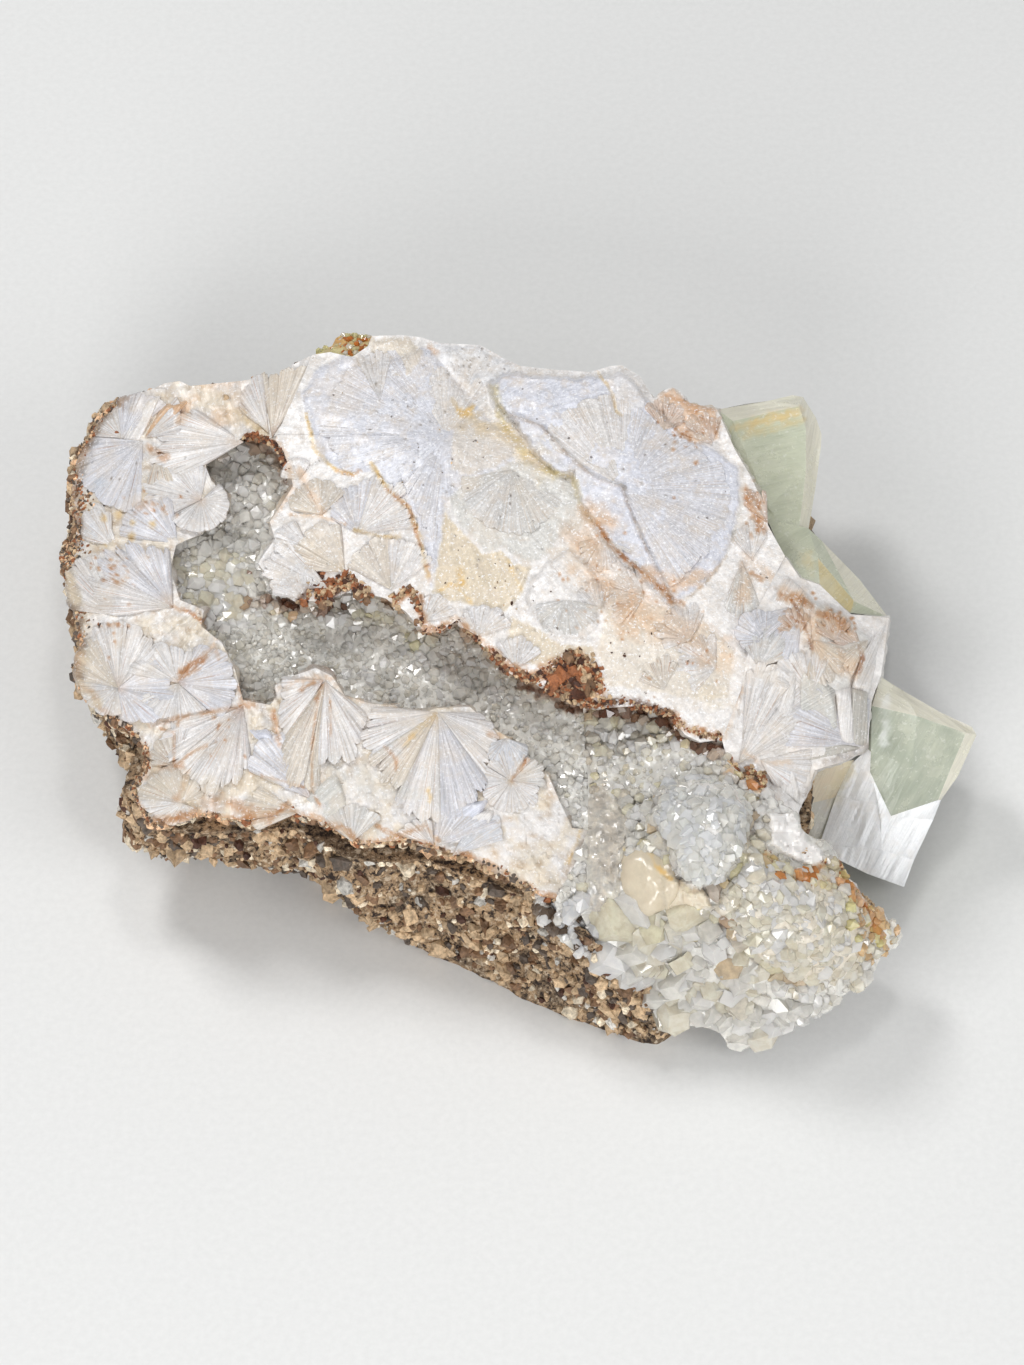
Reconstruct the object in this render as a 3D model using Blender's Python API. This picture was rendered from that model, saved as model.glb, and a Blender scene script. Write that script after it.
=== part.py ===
"""A specimen of heulandite with stilbite: pearly white plates and radiating sprays on brown basalt.

The slab lies on its rock. Its outlines were read by eye in one view, from the front and 55 degrees
above the surface that it stands on, so each crust is worked out as follows: a point of that view,
in pixels, and its real height above the surface give one point in space, where the sight line
through the pixel meets that height. A crust's walls follow the sight lines down to the rock, so
neighbours that don't overlap in the view don't overlap in space.

Units are metres, +Z is up, +X is to the right in the view, and the origin is on the surface below
the middle of the specimen.
"""

import math

import bmesh
import bpy
import numpy as np
from mathutils import Vector, noise
from mathutils.geometry import delaunay_2d_cdt

MM = 0.001

# The view: sight lines, and the real size of a pixel at the point that is aimed at
VIEW_RISE = math.radians(55.0)
PIXEL = 0.1638 * MM
FOCAL_PIXELS = 4171.0
VIEW_CENTRE = (512.0, 682.5)
AIM = np.array((-0.63, 0.23, 20.0)) * MM

# Driving dimensions
ROCK_TOP = 22.0 * MM
GAP = 0.35 * MM
INSET_PIXELS = 1.1
REAR_LIMIT = 56.0 * MM
REAR_SQUEEZE = 0.15
ROCK_STATIONS = 88
ROCK_ROUGHNESS = 2.2 * MM
ROCK_GRAIN = 8.0 * MM
DISC_RISE = 2.4 * MM
STEP_PIXELS = 3.0
DRUSE_SPACING = 15.0
DRUSE_RISE = 1.5 * MM
RELIEF_SEED = 11

# Levels of the rock from its rim to its foot, as a share of its height, and how far the ledge
# that runs round it stands out at each
ROCK_LEVELS = (
    (1.0, 0.0), (0.9, 0.0), (0.76, 0.2), (0.62, 0.5), (0.5, 1.0), (0.42, 0.2), (0.28, -0.3),
    (0.12, 0.0), (0.0, 0.0),
)
ROCK_LEDGE = 1.3 * MM

# Slanting planes under the crusts that reach past the rock: x, y and z of a point on the plane,
# then how much the plane rises for each metre along x and along y
DRUSE_SEAT = (0.0, -32.0 * MM, 20.0 * MM, 0.0, 0.66)
BLOCK_KEEL = (49.2 * MM, 0.0, ROCK_TOP + GAP, -1.1, 0.0)
GREEN_KEEL = (0.0, -32.0 * MM, 1.2 * MM, 0.0, 0.42)

# Plan of the rock in millimetres, from the point aimed at: rim under the crust, and foot on the
# surface, clockwise from above
ROCK_RIM_MM = (
    (-59.0, -29.0), (-62.0, -22.0), (-62.0, -12.0), (-67.0, -4.0), (-70.0, 6.0), (-71.5, 16.0),
    (-74.6, 26.0), (-73.6, 33.0), (-74.9, 41.0), (-70.0, 51.0), (-62.0, 56.5), (-42.0, 57.5),
    (-20.0, 58.5), (2.0, 58.0), (24.0, 56.0), (40.0, 50.0), (48.0, 38.0), (48.5, 20.0),
    (48.0, 2.0), (48.0, -14.0), (47.0, -28.0), (42.0, -38.0), (33.0, -46.0), (23.5, -51.0),
    (14.0, -51.0), (6.0, -45.3), (-2.0, -40.2), (-12.0, -36.6), (-25.0, -35.0), (-34.7, -29.5),
    (-40.0, -30.2), (-51.0, -29.8),
)
ROCK_FOOT_MM = (
    (-52.7, -17.0), (-56.0, -12.0), (-58.0, -6.0), (-60.0, 2.0), (-61.0, 10.0), (-62.0, 18.0),
    (-64.0, 26.0), (-64.0, 32.0), (-63.0, 39.0), (-58.0, 46.0), (-50.0, 51.0), (-36.0, 53.0),
    (-18.0, 54.0), (2.0, 53.0), (20.0, 51.0), (34.0, 45.0), (42.0, 34.0), (44.0, 18.0),
    (45.0, 2.0), (45.0, -14.0), (44.0, -26.0), (40.0, -38.0), (32.0, -48.0), (23.5, -56.2),
    (16.0, -54.2), (8.0, -51.0), (-2.0, -45.8), (-12.0, -40.0), (-18.3, -36.4), (-28.0, -28.6),
    (-35.0, -23.4), (-44.0, -18.8),
)

# Shared edges, in pixels of the view
LIP = (
    (275, 440), (284, 452), (290, 472), (293, 486), (283, 502), (270, 522), (275, 539), (258, 563),
    (272, 583), (293, 601), (325, 601), (353, 590), (385, 598), (405, 611), (425, 633), (440, 632),
    (457, 620), (470, 635), (490, 652), (510, 674), (540, 684), (560, 692), (583, 706),
)
LIP_RIGHT = ((583, 706), (600, 708), (640, 706), (668, 712), (685, 735), (700, 742), (722, 740))
BANK = (
    (275, 440), (258, 436), (242, 438), (225, 447), (205, 465), (211, 480), (227, 498), (222, 519),
    (200, 534), (176, 545), (170, 570), (180, 600), (204, 610), (201, 626), (222, 643), (235, 670),
    (243, 700), (270, 705), (277, 696), (274, 686), (295, 675), (316, 668), (332, 676), (345, 696),
    (372, 704), (395, 705), (408, 718), (438, 708), (470, 707), (490, 725), (508, 738), (530, 760),
    (548, 775), (560, 802), (572, 828), (588, 830),
)
LEDGE_ABOVE = ((583, 706), (584, 735), (588, 780), (588, 830))
LEDGE_BELOW = ((588, 830), (576, 862), (556, 898))
SEAM = ((312, 355), (300, 384), (286, 414), (275, 440))
FRONT_RIM = (
    (556, 898), (540, 896), (525, 885), (500, 870), (480, 860), (440, 850), (420, 843), (400, 840),
    (360, 844), (345, 830), (320, 820), (300, 815), (286, 806), (270, 818), (240, 820), (200, 815),
    (165, 822), (150, 822),
)
LEFT_END = (
    (150, 822), (138, 805), (131, 790), (145, 772), (148, 758), (143, 745), (127, 728), (110, 715),
    (98, 706), (92, 692), (80, 688), (77, 675), (80, 655), (78, 620), (72, 598), (62, 566),
    (61, 551), (73, 542), (78, 527), (72, 505), (72, 485), (80, 456), (88, 440), (97, 423),
    (110, 407), (127, 397),
)
LEFT_REAR = (
    (127, 397), (155, 388), (165, 383), (180, 381), (190, 386), (210, 384), (240, 381), (260, 378),
    (280, 375), (292, 365), (312, 355),
)
PLATE_REAR = (
    (312, 355), (330, 352), (352, 357), (368, 346), (372, 336), (400, 335), (420, 337), (440, 343),
    (480, 345), (500, 356), (520, 366), (560, 370), (590, 372), (610, 366), (622, 365), (640, 376),
    (654, 399), (665, 390), (672, 387), (680, 391), (690, 403), (717, 409),
)
PLATE_RIGHT = ((717, 409), (735, 450), (750, 475), (762, 500), (768, 525))
SHOULDER = ((768, 525), (776, 540), (785, 556))
BLOCK_RIDGE = ((785, 556), (762, 600), (745, 630), (748, 652), (741, 690), (722, 740))
BLOCK_TOP = ((785, 556), (800, 578), (820, 585), (850, 614), (889, 618))
BLOCK_RIGHT = ((889, 618), (881, 675), (871, 702), (868, 748))
BLOCK_UNDER = ((868, 748), (842, 762), (815, 770), (806, 795), (798, 814))
DRUSE_TOP = ((798, 814), (774, 800), (750, 782), (728, 762), (722, 740))
DRUSE_OUTER = (
    (798, 814), (802, 830), (818, 842), (838, 862), (845, 880), (865, 900), (888, 920), (899, 930),
    (892, 945), (875, 960), (862, 982), (840, 998), (828, 1011), (800, 1020), (775, 1030),
    (745, 1049), (728, 1043), (715, 1027), (690, 1026), (664, 1028), (655, 1014), (650, 990),
    (640, 978), (625, 979), (610, 960), (592, 936), (580, 913), (557, 924), (556, 898),
)

# Raised rim of the pearly disc, and the blade that crosses it
DISC = (
    (488, 384), (492, 400), (516, 424), (530, 450), (545, 465), (557, 474), (572, 472), (578, 500),
    (592, 522), (615, 555), (640, 576), (665, 602), (680, 602), (705, 585), (720, 569), (733, 540),
    (740, 500), (738, 466), (712, 447), (690, 438), (668, 418), (650, 400), (636, 382), (621, 371),
    (600, 376), (560, 376), (520, 372), (500, 374),
)
NODULE = ((650, 885), 27.0, 38.0, 3.0 * MM)

# Heights in millimetres at places in the view, for each crust
LEFT_HEIGHTS = (
    (80, 456, 27.0), (125, 398, 32.0), (180, 383, 35.0), (240, 383, 37.0), (300, 365, 39.0),
    (285, 415, 39.0), (272, 440, 38.0), (245, 438, 37.0), (205, 465, 34.0), (222, 510, 33.0),
    (175, 545, 32.0), (172, 580, 31.5), (200, 615, 31.0), (225, 650, 30.5), (243, 700, 30.0),
    (290, 680, 32.0), (330, 675, 33.5), (400, 708, 33.5), (438, 708, 34.0), (480, 710, 33.5),
    (530, 760, 31.5), (572, 830, 29.0), (588, 830, 28.0), (556, 898, 25.5), (525, 885, 26.5),
    (480, 860, 27.5), (400, 840, 28.0), (345, 830, 28.0), (285, 806, 28.5), (200, 815, 27.0),
    (150, 822, 25.5), (131, 790, 25.0), (143, 745, 26.5), (92, 692, 25.5), (78, 640, 26.5),
    (62, 565, 26.0), (72, 485, 26.0), (120, 600, 30.0), (150, 500, 33.0), (120, 688, 29.5),
    (180, 690, 30.0), (180, 780, 29.5), (330, 740, 32.0), (438, 770, 32.5),
)
PLATE_HEIGHTS = (
    (312, 360, 40.0), (345, 352, 41.0), (400, 345, 42.5), (480, 352, 44.0), (560, 375, 45.5),
    (640, 392, 46.0), (700, 410, 45.5), (750, 478, 43.5), (768, 528, 42.5), (786, 556, 41.5),
    (745, 630, 41.5), (738, 690, 39.0), (720, 738, 36.5), (685, 732, 37.0), (640, 704, 38.5),
    (600, 705, 38.5), (560, 690, 38.0), (500, 662, 37.5), (455, 622, 37.5), (425, 631, 36.5),
    (380, 596, 37.0), (330, 599, 36.0), (293, 599, 36.0), (260, 563, 36.5), (272, 522, 37.5),
    (290, 478, 38.0), (276, 442, 39.0), (400, 450, 42.5), (350, 520, 40.5), (450, 540, 41.5),
    (550, 600, 41.0), (640, 640, 41.5), (690, 660, 41.0),
)
CHANNEL_HEIGHTS = (
    (260, 446, 31.0), (215, 470, 30.0), (270, 480, 31.0), (250, 520, 29.0), (200, 550, 28.5),
    (265, 555, 29.5), (200, 590, 27.0), (240, 610, 27.0), (290, 605, 28.0), (230, 650, 26.5),
    (280, 650, 26.5), (330, 640, 27.0), (360, 600, 29.0), (420, 640, 28.5), (300, 665, 28.0),
    (400, 690, 27.5), (400, 650, 26.5), (470, 690, 27.0), (500, 668, 29.0), (540, 700, 28.5),
    (540, 740, 28.0), (583, 710, 30.0), (585, 780, 28.5), (575, 820, 28.0), (530, 755, 29.5),
)
DRUSE_HEIGHTS = (
    (590, 712, 30.0), (640, 712, 31.0), (680, 737, 33.0), (720, 745, 34.0), (750, 785, 34.0),
    (800, 817, 31.0), (838, 862, 25.0), (865, 900, 20.0), (898, 930, 15.0), (875, 960, 13.0),
    (840, 998, 9.0), (800, 1020, 6.5), (745, 1046, 4.5), (700, 1027, 6.5), (660, 1026, 6.5),
    (650, 990, 11.0), (625, 978, 14.0), (592, 933, 20.0), (557, 922, 24.0), (575, 862, 27.5),
    (588, 830, 28.5), (587, 760, 29.0), (610, 850, 28.5), (610, 930, 20.0), (650, 760, 31.0),
    (700, 790, 34.5), (700, 830, 35.0), (740, 860, 33.0), (650, 850, 30.0), (690, 900, 28.0),
    (720, 930, 23.0), (780, 900, 28.0), (820, 940, 21.0), (760, 980, 16.0), (700, 980, 15.5),
    (650, 930, 22.0), (745, 1020, 8.5), (640, 1000, 10.0),
)
BLOCK_HEIGHTS = (
    (785, 558, 41.5), (820, 586, 39.5), (850, 615, 38.5), (887, 619, 36.0), (760, 600, 42.0),
    (746, 632, 42.0), (748, 650, 41.5), (741, 690, 39.0), (724, 738, 36.5), (728, 762, 34.0),
    (750, 782, 33.0), (798, 812, 29.0), (815, 770, 31.0), (845, 762, 30.5), (868, 748, 30.0),
    (872, 702, 32.5), (880, 675, 33.5), (820, 640, 41.0), (858, 650, 38.0), (760, 757, 36.0),
    (812, 745, 35.5),
)
GREEN_TOP_HEIGHTS = (
    (717, 409, 39.0), (792, 395, 38.0), (822, 437, 35.5), (808, 532, 32.0), (768, 523, 34.0),
    (770, 420, 39.0), (800, 440, 37.0), (735, 450, 38.0),
)
GREEN_MIDDLE_HEIGHTS = (
    (768, 527, 34.0), (808, 535, 33.0), (860, 580, 31.5), (888, 616, 30.5), (850, 612, 34.0),
    (820, 583, 35.0), (787, 556, 35.5),
)
GREEN_RIGHT_HEIGHTS = (
    (881, 677, 30.0), (973, 728, 23.0), (976, 736, 21.5), (950, 785, 15.5), (905, 887, 4.5),
    (870, 875, 5.5), (842, 862, 7.0), (822, 842, 9.5), (836, 795, 16.0), (852, 764, 20.0),
    (868, 750, 23.5), (871, 703, 27.5), (900, 765, 20.5), (880, 800, 14.5),
)
KNOB_HEIGHTS = ((318, 351, 38.0), (345, 334, 39.0), (370, 340, 40.0), (350, 352, 40.5))

# Radiating sprays: hub, first and last angle (degrees, anticlockwise from the right), reach, blades
LEFT_SPRAYS = (
    (268, 432, 60, 128, 62, 5), (118, 442, 14, 120, 40, 4), (150, 446, 176, 262, 66, 4),
    (232, 424, 154, 196, 54, 2), (192, 506, 190, 262, 52, 3), (164, 596, 104, 190, 72, 5),
    (116, 682, 40, 210, 32, 5), (186, 684, -150, 120, 44, 7), (236, 712, 186, 262, 52, 3),
    (172, 762, 90, 230, 26, 3), (196, 792, -150, 50, 22, 4), (322, 684, -138, -32, 78, 5),
    (438, 716, -166, -34, 100, 8), (512, 784, -170, 0, 36, 5), (384, 806, -150, -20, 26, 3),
    (262, 776, -170, 40, 30, 4), (96, 612, 140, 262, 24, 3),
)
PLATE_SPRAYS = (
    (390, 586, 20, 150, 58, 5), (345, 524, -40, 84, 50, 4), (330, 578, 96, 172, 62, 4),
    (306, 504, 50, 150, 32, 3), (284, 582, 60, 170, 20, 2), (414, 610, -10, 66, 34, 3),
    (480, 646, 30, 130, 36, 4), (388, 400, 52, 122, 54, 3), (450, 420, 150, 330, 60, 5),
    (560, 640, 30, 150, 66, 5), (650, 686, -10, 160, 54, 5), (470, 520, -150, 0, 56, 4),
)
DISC_SPRAY = (625, 490, 0, 360, 84, 13)
BLOCK_SPRAYS = ((800, 700, 20, 170, 38, 5),)

# Finishes: colour, roughness
WHITE = ((0.84, 0.82, 0.80), 0.35)
QUARTZ = ((0.66, 0.67, 0.65), 0.2)
GREEN = ((0.56, 0.62, 0.46), 0.25)
BASALT = ((0.24, 0.17, 0.11), 0.95)
BROWN_QUARTZ = ((0.42, 0.33, 0.22), 0.5)


def clear_scene():
    """Removes every object that the scene starts with."""
    for thing in list(bpy.data.objects):
        bpy.data.objects.remove(thing, do_unlink=True)


def sight():
    """Returns the viewpoint and the view's three directions: forward, right and up."""
    forward = np.array((0.0, math.cos(VIEW_RISE), -math.sin(VIEW_RISE)))
    upward = np.array((0.0, math.sin(VIEW_RISE), math.cos(VIEW_RISE)))
    right = np.array((1.0, 0.0, 0.0))
    return AIM - forward * PIXEL * FOCAL_PIXELS, forward, right, upward


def seen_on(pixels, plane):
    """Points where sight lines meet a slanting plane, given as the planes above are."""
    eye, forward, right, upward = sight()
    pixels = np.asarray(pixels, float)
    ray = (forward
           + (pixels[:, :1] - VIEW_CENTRE[0]) / FOCAL_PIXELS * right
           + (VIEW_CENTRE[1] - pixels[:, 1:2]) / FOCAL_PIXELS * upward)
    at_x, at_y, at_z, slope_x, slope_y = plane
    drop = at_z + slope_x * (eye[0] - at_x) + slope_y * (eye[1] - at_y) - eye[2]
    reach = drop / (ray[:, 2] - slope_x * ray[:, 0] - slope_y * ray[:, 1])
    return eye + reach[:, None] * ray


def seen(pixels, height):
    """Points where sight lines meet a level plane."""
    return seen_on(pixels, (0.0, 0.0, height, 0.0, 0.0))


def smooth_heights(pixels, controls):
    """Heights that pass through the controls: a sum of cones plus a plane, fitted to them."""
    controls = np.array(controls, float)
    places = controls[:, :2] / 100.0
    heights = controls[:, 2] * MM
    count = len(places)
    spread = np.linalg.norm(places[:, None] - places[None], axis=2)
    flat = np.c_[np.ones(count), places]
    system = np.block([[spread, flat], [flat.T, np.zeros((3, 3))]])
    weights = np.linalg.solve(system, np.r_[heights, np.zeros(3)])
    spots = np.asarray(pixels, float) / 100.0
    reach = np.linalg.norm(spots[:, None] - places[None], axis=2)
    return reach @ weights[:count] + np.c_[np.ones(len(spots)), spots] @ weights[count:]


def inside(pixels, outline):
    """Which pixels lie inside a closed outline, by counting crossings."""
    pixels = np.asarray(pixels, float)
    ring = np.asarray(outline, float)
    after = np.roll(ring, -1, axis=0)
    px = pixels[:, 0][:, None]
    py = pixels[:, 1][:, None]
    spans = (ring[:, 1] > py) != (after[:, 1] > py)
    rise = np.where(after[:, 1] == ring[:, 1], 1.0, after[:, 1] - ring[:, 1])
    cross = ring[:, 0] + (py - ring[:, 1]) / rise * (after[:, 0] - ring[:, 0])
    return (np.sum(spans & (px < cross), axis=1) % 2) == 1


def shrunk(outline, inset):
    """The outline moved inwards by a few pixels, with its corners mitred."""
    ring = np.asarray(outline, float)
    before = ring - np.roll(ring, 1, axis=0)
    after = np.roll(ring, -1, axis=0) - ring
    before /= np.linalg.norm(before, axis=1, keepdims=True)
    after /= np.linalg.norm(after, axis=1, keepdims=True)
    normals = np.c_[-before[:, 1], before[:, 0]] + np.c_[-after[:, 1], after[:, 0]]
    length = np.linalg.norm(normals, axis=1, keepdims=True)
    normals /= np.maximum(length, 0.2)
    stretch = np.minimum(2.0 / np.maximum(length, 0.2), 1.8)
    turning = np.sum(ring[:, 0] * np.roll(ring[:, 1], -1) - np.roll(ring[:, 0], -1) * ring[:, 1])
    side = 1.0 if turning > 0 else -1.0
    return ring + side * normals * stretch * inset


def joined(*edges):
    """One closed outline from edges that follow each other end to end."""
    ring = []
    for edge in edges:
        ring.extend(edge[:-1])
    return ring


def turned(edge):
    """The same edge in the other direction."""
    return tuple(reversed(edge))


def distance_to(pixels, outline):
    """Distance from each pixel to the nearest stretch of a closed outline."""
    pixels = np.asarray(pixels, float)
    ring = np.asarray(outline, float)
    run = np.roll(ring, -1, axis=0) - ring
    along = np.sum((pixels[:, None] - ring) * run, axis=2) / np.sum(run * run, axis=1)
    foot = ring + np.clip(along, 0.0, 1.0)[..., None] * run
    return np.linalg.norm(pixels[:, None] - foot, axis=2).min(axis=1)


class Relief:
    """The front of a crust: places in the view, what they rise above it, and lines between them."""

    def __init__(self, outline, controls):
        self.outline = shrunk(outline, INSET_PIXELS)
        self.controls = controls
        self.places = [tuple(spot) for spot in self.outline]
        self.rises = [0.0] * len(self.places)
        self.lines = []
        self.steps = []

    def free_at(self, spots, clearance):
        """Which places lie inside the outline and clear of what is already there."""
        spots = np.asarray(spots, float)
        clear = inside(spots, self.outline) & (distance_to(spots, self.outline) > clearance)
        taken = np.array(self.places)
        near = np.linalg.norm(spots[:, None] - taken[None], axis=2).min(axis=1)
        return clear & (near > clearance)

    def add_line(self, spots, rises, clearance=4.0):
        """Adds a ridge or a valley: each run of its free places is joined into a line."""
        free = self.free_at(spots, clearance)
        last = None
        for spot, rise, is_free in zip(spots, rises, free):
            if not is_free:
                last = None
                continue
            self.places.append(tuple(spot))
            self.rises.append(rise)
            if last is not None:
                self.lines.append((last, len(self.places) - 1))
            last = len(self.places) - 1

    def add_step(self, outline, rise):
        """Adds a raised table with steep sides, such as the disc."""
        self.steps.append((outline, rise))
        for inset, lift in ((STEP_PIXELS / 2, 0.0), (-STEP_PIXELS / 2, 0.0)):
            ring = shrunk(outline, inset)
            ring = np.vstack([ring, ring[:1]])
            self.add_line(ring, [lift] * len(ring), clearance=2.0)

    def add_spray(self, spray, rise=1.5 * MM):
        """Adds a spray: blades that widen from its hub, with valleys between them."""
        hub_x, hub_y, first, last, reach, blades = spray
        edges = 2 * blades + 1
        for index, angle in enumerate(np.radians(np.linspace(first, last, edges))):
            is_ridge = index % 2 == 1
            radii = np.array((0.12, 0.55, 0.95, 1.12)) * reach
            lift = (0.2, 0.7, 1.0, 0.0) if is_ridge else (-0.1, 0.1, 0.3, -0.1)
            spots = np.c_[hub_x + radii * math.cos(angle), hub_y - radii * math.sin(angle)]
            self.add_line(spots, [rise * part for part in lift])

    def add_druse(self, spacing, rise, region, seed):
        """Adds small crystal points: a jittered net of places, every other one raised."""
        chance = np.random.default_rng(seed)
        low = np.min(self.outline, axis=0)
        high = np.max(self.outline, axis=0)
        columns = np.arange(low[0], high[0], spacing)
        rows = np.arange(low[1], high[1], spacing * 0.866)
        grid = np.array([(x + (row % 2) * spacing / 2, y) for row, y in enumerate(rows) for x in columns])
        grid += chance.uniform(-0.22, 0.22, grid.shape) * spacing
        lifts = chance.uniform(-0.5, 1.0, len(grid)) * rise
        for spot, lift in zip(grid, lifts):
            if region is None or inside([spot], region)[0]:
                self.add_line([spot], [lift], clearance=spacing * 0.42)

    def heights(self, spots):
        """Height of the crust at any place, before ridges and points are added."""
        level = smooth_heights(spots, self.controls)
        for outline, rise in self.steps:
            level = level + np.where(inside(spots, outline), rise, 0.0)
        return level


def edge_loop(count, faces):
    """The closed boundary of a triangulated sheet, as an ordered list of its vertices."""
    following = {}
    used = set()
    for face in faces:
        for start, end in zip(face, face[1:] + face[:1]):
            used.add((start, end))
    for start, end in used:
        if (end, start) not in used:
            following[start] = end
    first = min(following)
    loop = [first]
    while following[loop[-1]] != first:
        loop.append(following[loop[-1]])
    return loop


def rear_squeezed(points):
    """Keeps the foot of a crust near the rock's rear rim instead of far behind it."""
    over = np.maximum(points[:, 1] - REAR_LIMIT, 0.0)
    points[:, 1] -= over * (1.0 - REAR_SQUEEZE)
    return points


def crust_mesh(relief, foot, crease=None):
    """A closed crust: its front relief, its walls, and its flat or creased foot on the rock.

    The foot is a function from pixels to points. A crease is a line in the view where the foot
    bends, and both sheets get an edge along it.
    """
    spots = [Vector(place) for place in relief.places]
    lines = list(relief.lines)
    rim = list(range(len(relief.outline)))
    if crease is not None:
        spots += [Vector(end) for end in crease]
        lines.append((len(spots) - 2, len(spots) - 1))
    flat, _, faces, origins, _, _ = delaunay_2d_cdt(spots, lines, [rim], 1, 1e-6)
    pixels = np.array([tuple(spot) for spot in flat])
    lift = np.zeros(len(pixels))
    for index, sources in enumerate(origins):
        known = [source for source in sources if source < len(relief.rises)]
        if known:
            lift[index] = relief.rises[known[0]]
    faces = [list(face) for face in faces]
    loop = edge_loop(len(pixels), faces)
    level = relief.heights(pixels) + lift
    front = np.vstack([seen(pixels[i:i + 1], level[i]) for i in range(len(pixels))])

    rim_pixels = [Vector(pixels[index]) for index in loop]
    back_spots = list(rim_pixels)
    back_lines = []
    if crease is not None:
        back_spots += [Vector(end) for end in crease]
        back_lines = [(len(back_spots) - 2, len(back_spots) - 1)]
    back_flat, _, back_faces, _, _, _ = delaunay_2d_cdt(
        back_spots, back_lines, [list(range(len(rim_pixels)))], 1, 1e-6)
    back_pixels = np.array([tuple(spot) for spot in back_flat])
    back = foot(back_pixels)

    body = bmesh.new()
    front_verts = [body.verts.new(point) for point in front]
    back_verts = [body.verts.new(point) for point in back]
    for face in faces:
        body.faces.new([front_verts[index] for index in face])
    for face in back_faces:
        body.faces.new([back_verts[index] for index in reversed(face)])
    lookup = {tuple(np.round(spot, 3)): vert for spot, vert in zip(back_pixels, back_verts)}
    under = [lookup[tuple(np.round(pixels[index], 3))] for index in loop]
    over = [front_verts[index] for index in loop]
    for index in range(len(loop)):
        after = (index + 1) % len(loop)
        body.faces.new((over[after], over[index], under[index], under[after]))
    loose = [vert for vert in body.verts if not vert.link_faces]
    bmesh.ops.delete(body, geom=loose, context="VERTS")
    bmesh.ops.recalc_face_normals(body, faces=body.faces)
    bmesh.ops.triangulate(body, faces=body.faces)
    return body


def finish(name, colour, roughness):
    """A plain material with the piece's colour."""
    material = bpy.data.materials.new(name)
    material.use_nodes = True
    shader = material.node_tree.nodes["Principled BSDF"]
    shader.inputs["Base Color"].default_value = (*colour, 1.0)
    shader.inputs["Roughness"].default_value = roughness
    return material


def place(name, body, look):
    """Puts a finished bmesh into the scene as one named object."""
    mesh = bpy.data.meshes.new(name)
    body.to_mesh(mesh)
    body.free()
    thing = bpy.data.objects.new(name, mesh)
    mesh.materials.append(finish(name + "_finish", *look))
    bpy.context.scene.collection.objects.link(thing)
    return thing


def on_rock(pixels):
    """The flat foot of a crust on the rock's rim plane."""
    return rear_squeezed(seen(pixels, ROCK_TOP + GAP))


def lower_of(pixels, plane):
    """The foot of a crust that reaches past the rock: the rim plane, or the slanting one."""
    flat = seen(pixels, ROCK_TOP + GAP)
    slanting = seen_on(pixels, plane)
    lower = slanting[:, 2] < flat[:, 2]
    return np.where(lower[:, None], slanting, flat)


def crease_of(plane):
    """The line in the view where the rim plane meets a slanting one, as two far ends."""
    eye, forward, right, upward = sight()
    at_x, at_y, at_z, slope_x, slope_y = plane
    rise = ROCK_TOP + GAP - at_z
    if slope_x:
        bend_x = at_x + rise / slope_x
        spots = ((bend_x, -90.0 * MM), (bend_x, 90.0 * MM))
    else:
        bend_y = at_y + rise / slope_y
        spots = ((-90.0 * MM, bend_y), (110.0 * MM, bend_y))
    ends = []
    for x, y in spots:
        offset = np.array((x, y, ROCK_TOP + GAP)) - eye
        depth = offset @ forward
        ends.append((VIEW_CENTRE[0] + offset @ right / depth * FOCAL_PIXELS,
                     VIEW_CENTRE[1] - offset @ upward / depth * FOCAL_PIXELS))
    return ends


def on_seat(pixels):
    """The druse's foot, on the rock and on its slanting seat."""
    return lower_of(pixels, DRUSE_SEAT)


def beside_rock(pixels):
    """The foot of the crystals that hang past the rock's right end."""
    return rear_squeezed(lower_of(pixels, BLOCK_KEEL))


def on_keel(pixels):
    """The hidden side of the right green crystal."""
    return seen_on(pixels, GREEN_KEEL)


def make_left_sprays():
    """The left lobe and the lower sprays: one white crust round the channel."""
    outline = joined(LEFT_REAR, SEAM, BANK, LEDGE_BELOW, FRONT_RIM, LEFT_END)
    relief = Relief(outline, LEFT_HEIGHTS)
    for spray in LEFT_SPRAYS:
        relief.add_spray(spray)
    relief.add_druse(26.0, 0.5 * MM, None, RELIEF_SEED)
    return place("stilbite_left_sprays", crust_mesh(relief, on_rock), WHITE)


def make_upper_plate():
    """The large upper plate with its raised pearly disc."""
    outline = joined(PLATE_REAR, PLATE_RIGHT, SHOULDER, BLOCK_RIDGE, turned(LIP_RIGHT), turned(LIP),
                     turned(SEAM))
    relief = Relief(outline, PLATE_HEIGHTS)
    relief.add_step(DISC, DISC_RISE)
    relief.add_spray(DISC_SPRAY, 0.5 * MM)
    for spray in PLATE_SPRAYS:
        relief.add_spray(spray, 1.0 * MM)
    relief.add_druse(30.0, 0.3 * MM, None, RELIEF_SEED + 1)
    return place("stilbite_upper_plate", crust_mesh(relief, on_rock), WHITE)


def make_right_block():
    """The blocky white crystal group on the right."""
    outline = joined(BLOCK_TOP, BLOCK_RIGHT, BLOCK_UNDER, DRUSE_TOP, turned(BLOCK_RIDGE))
    relief = Relief(outline, BLOCK_HEIGHTS)
    relief.add_line(((748, 655), (820, 642), (858, 652), (874, 660)), (0.0, 0.4 * MM, 0.2 * MM, 0.0))
    relief.add_line(((732, 748), (760, 758), (812, 747), (860, 744)), (0.3 * MM,) * 4)
    for spray in BLOCK_SPRAYS:
        relief.add_spray(spray, 1.2 * MM)
    body = crust_mesh(relief, beside_rock, crease_of(BLOCK_KEEL))
    return place("stilbite_right_block", body, WHITE)


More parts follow.
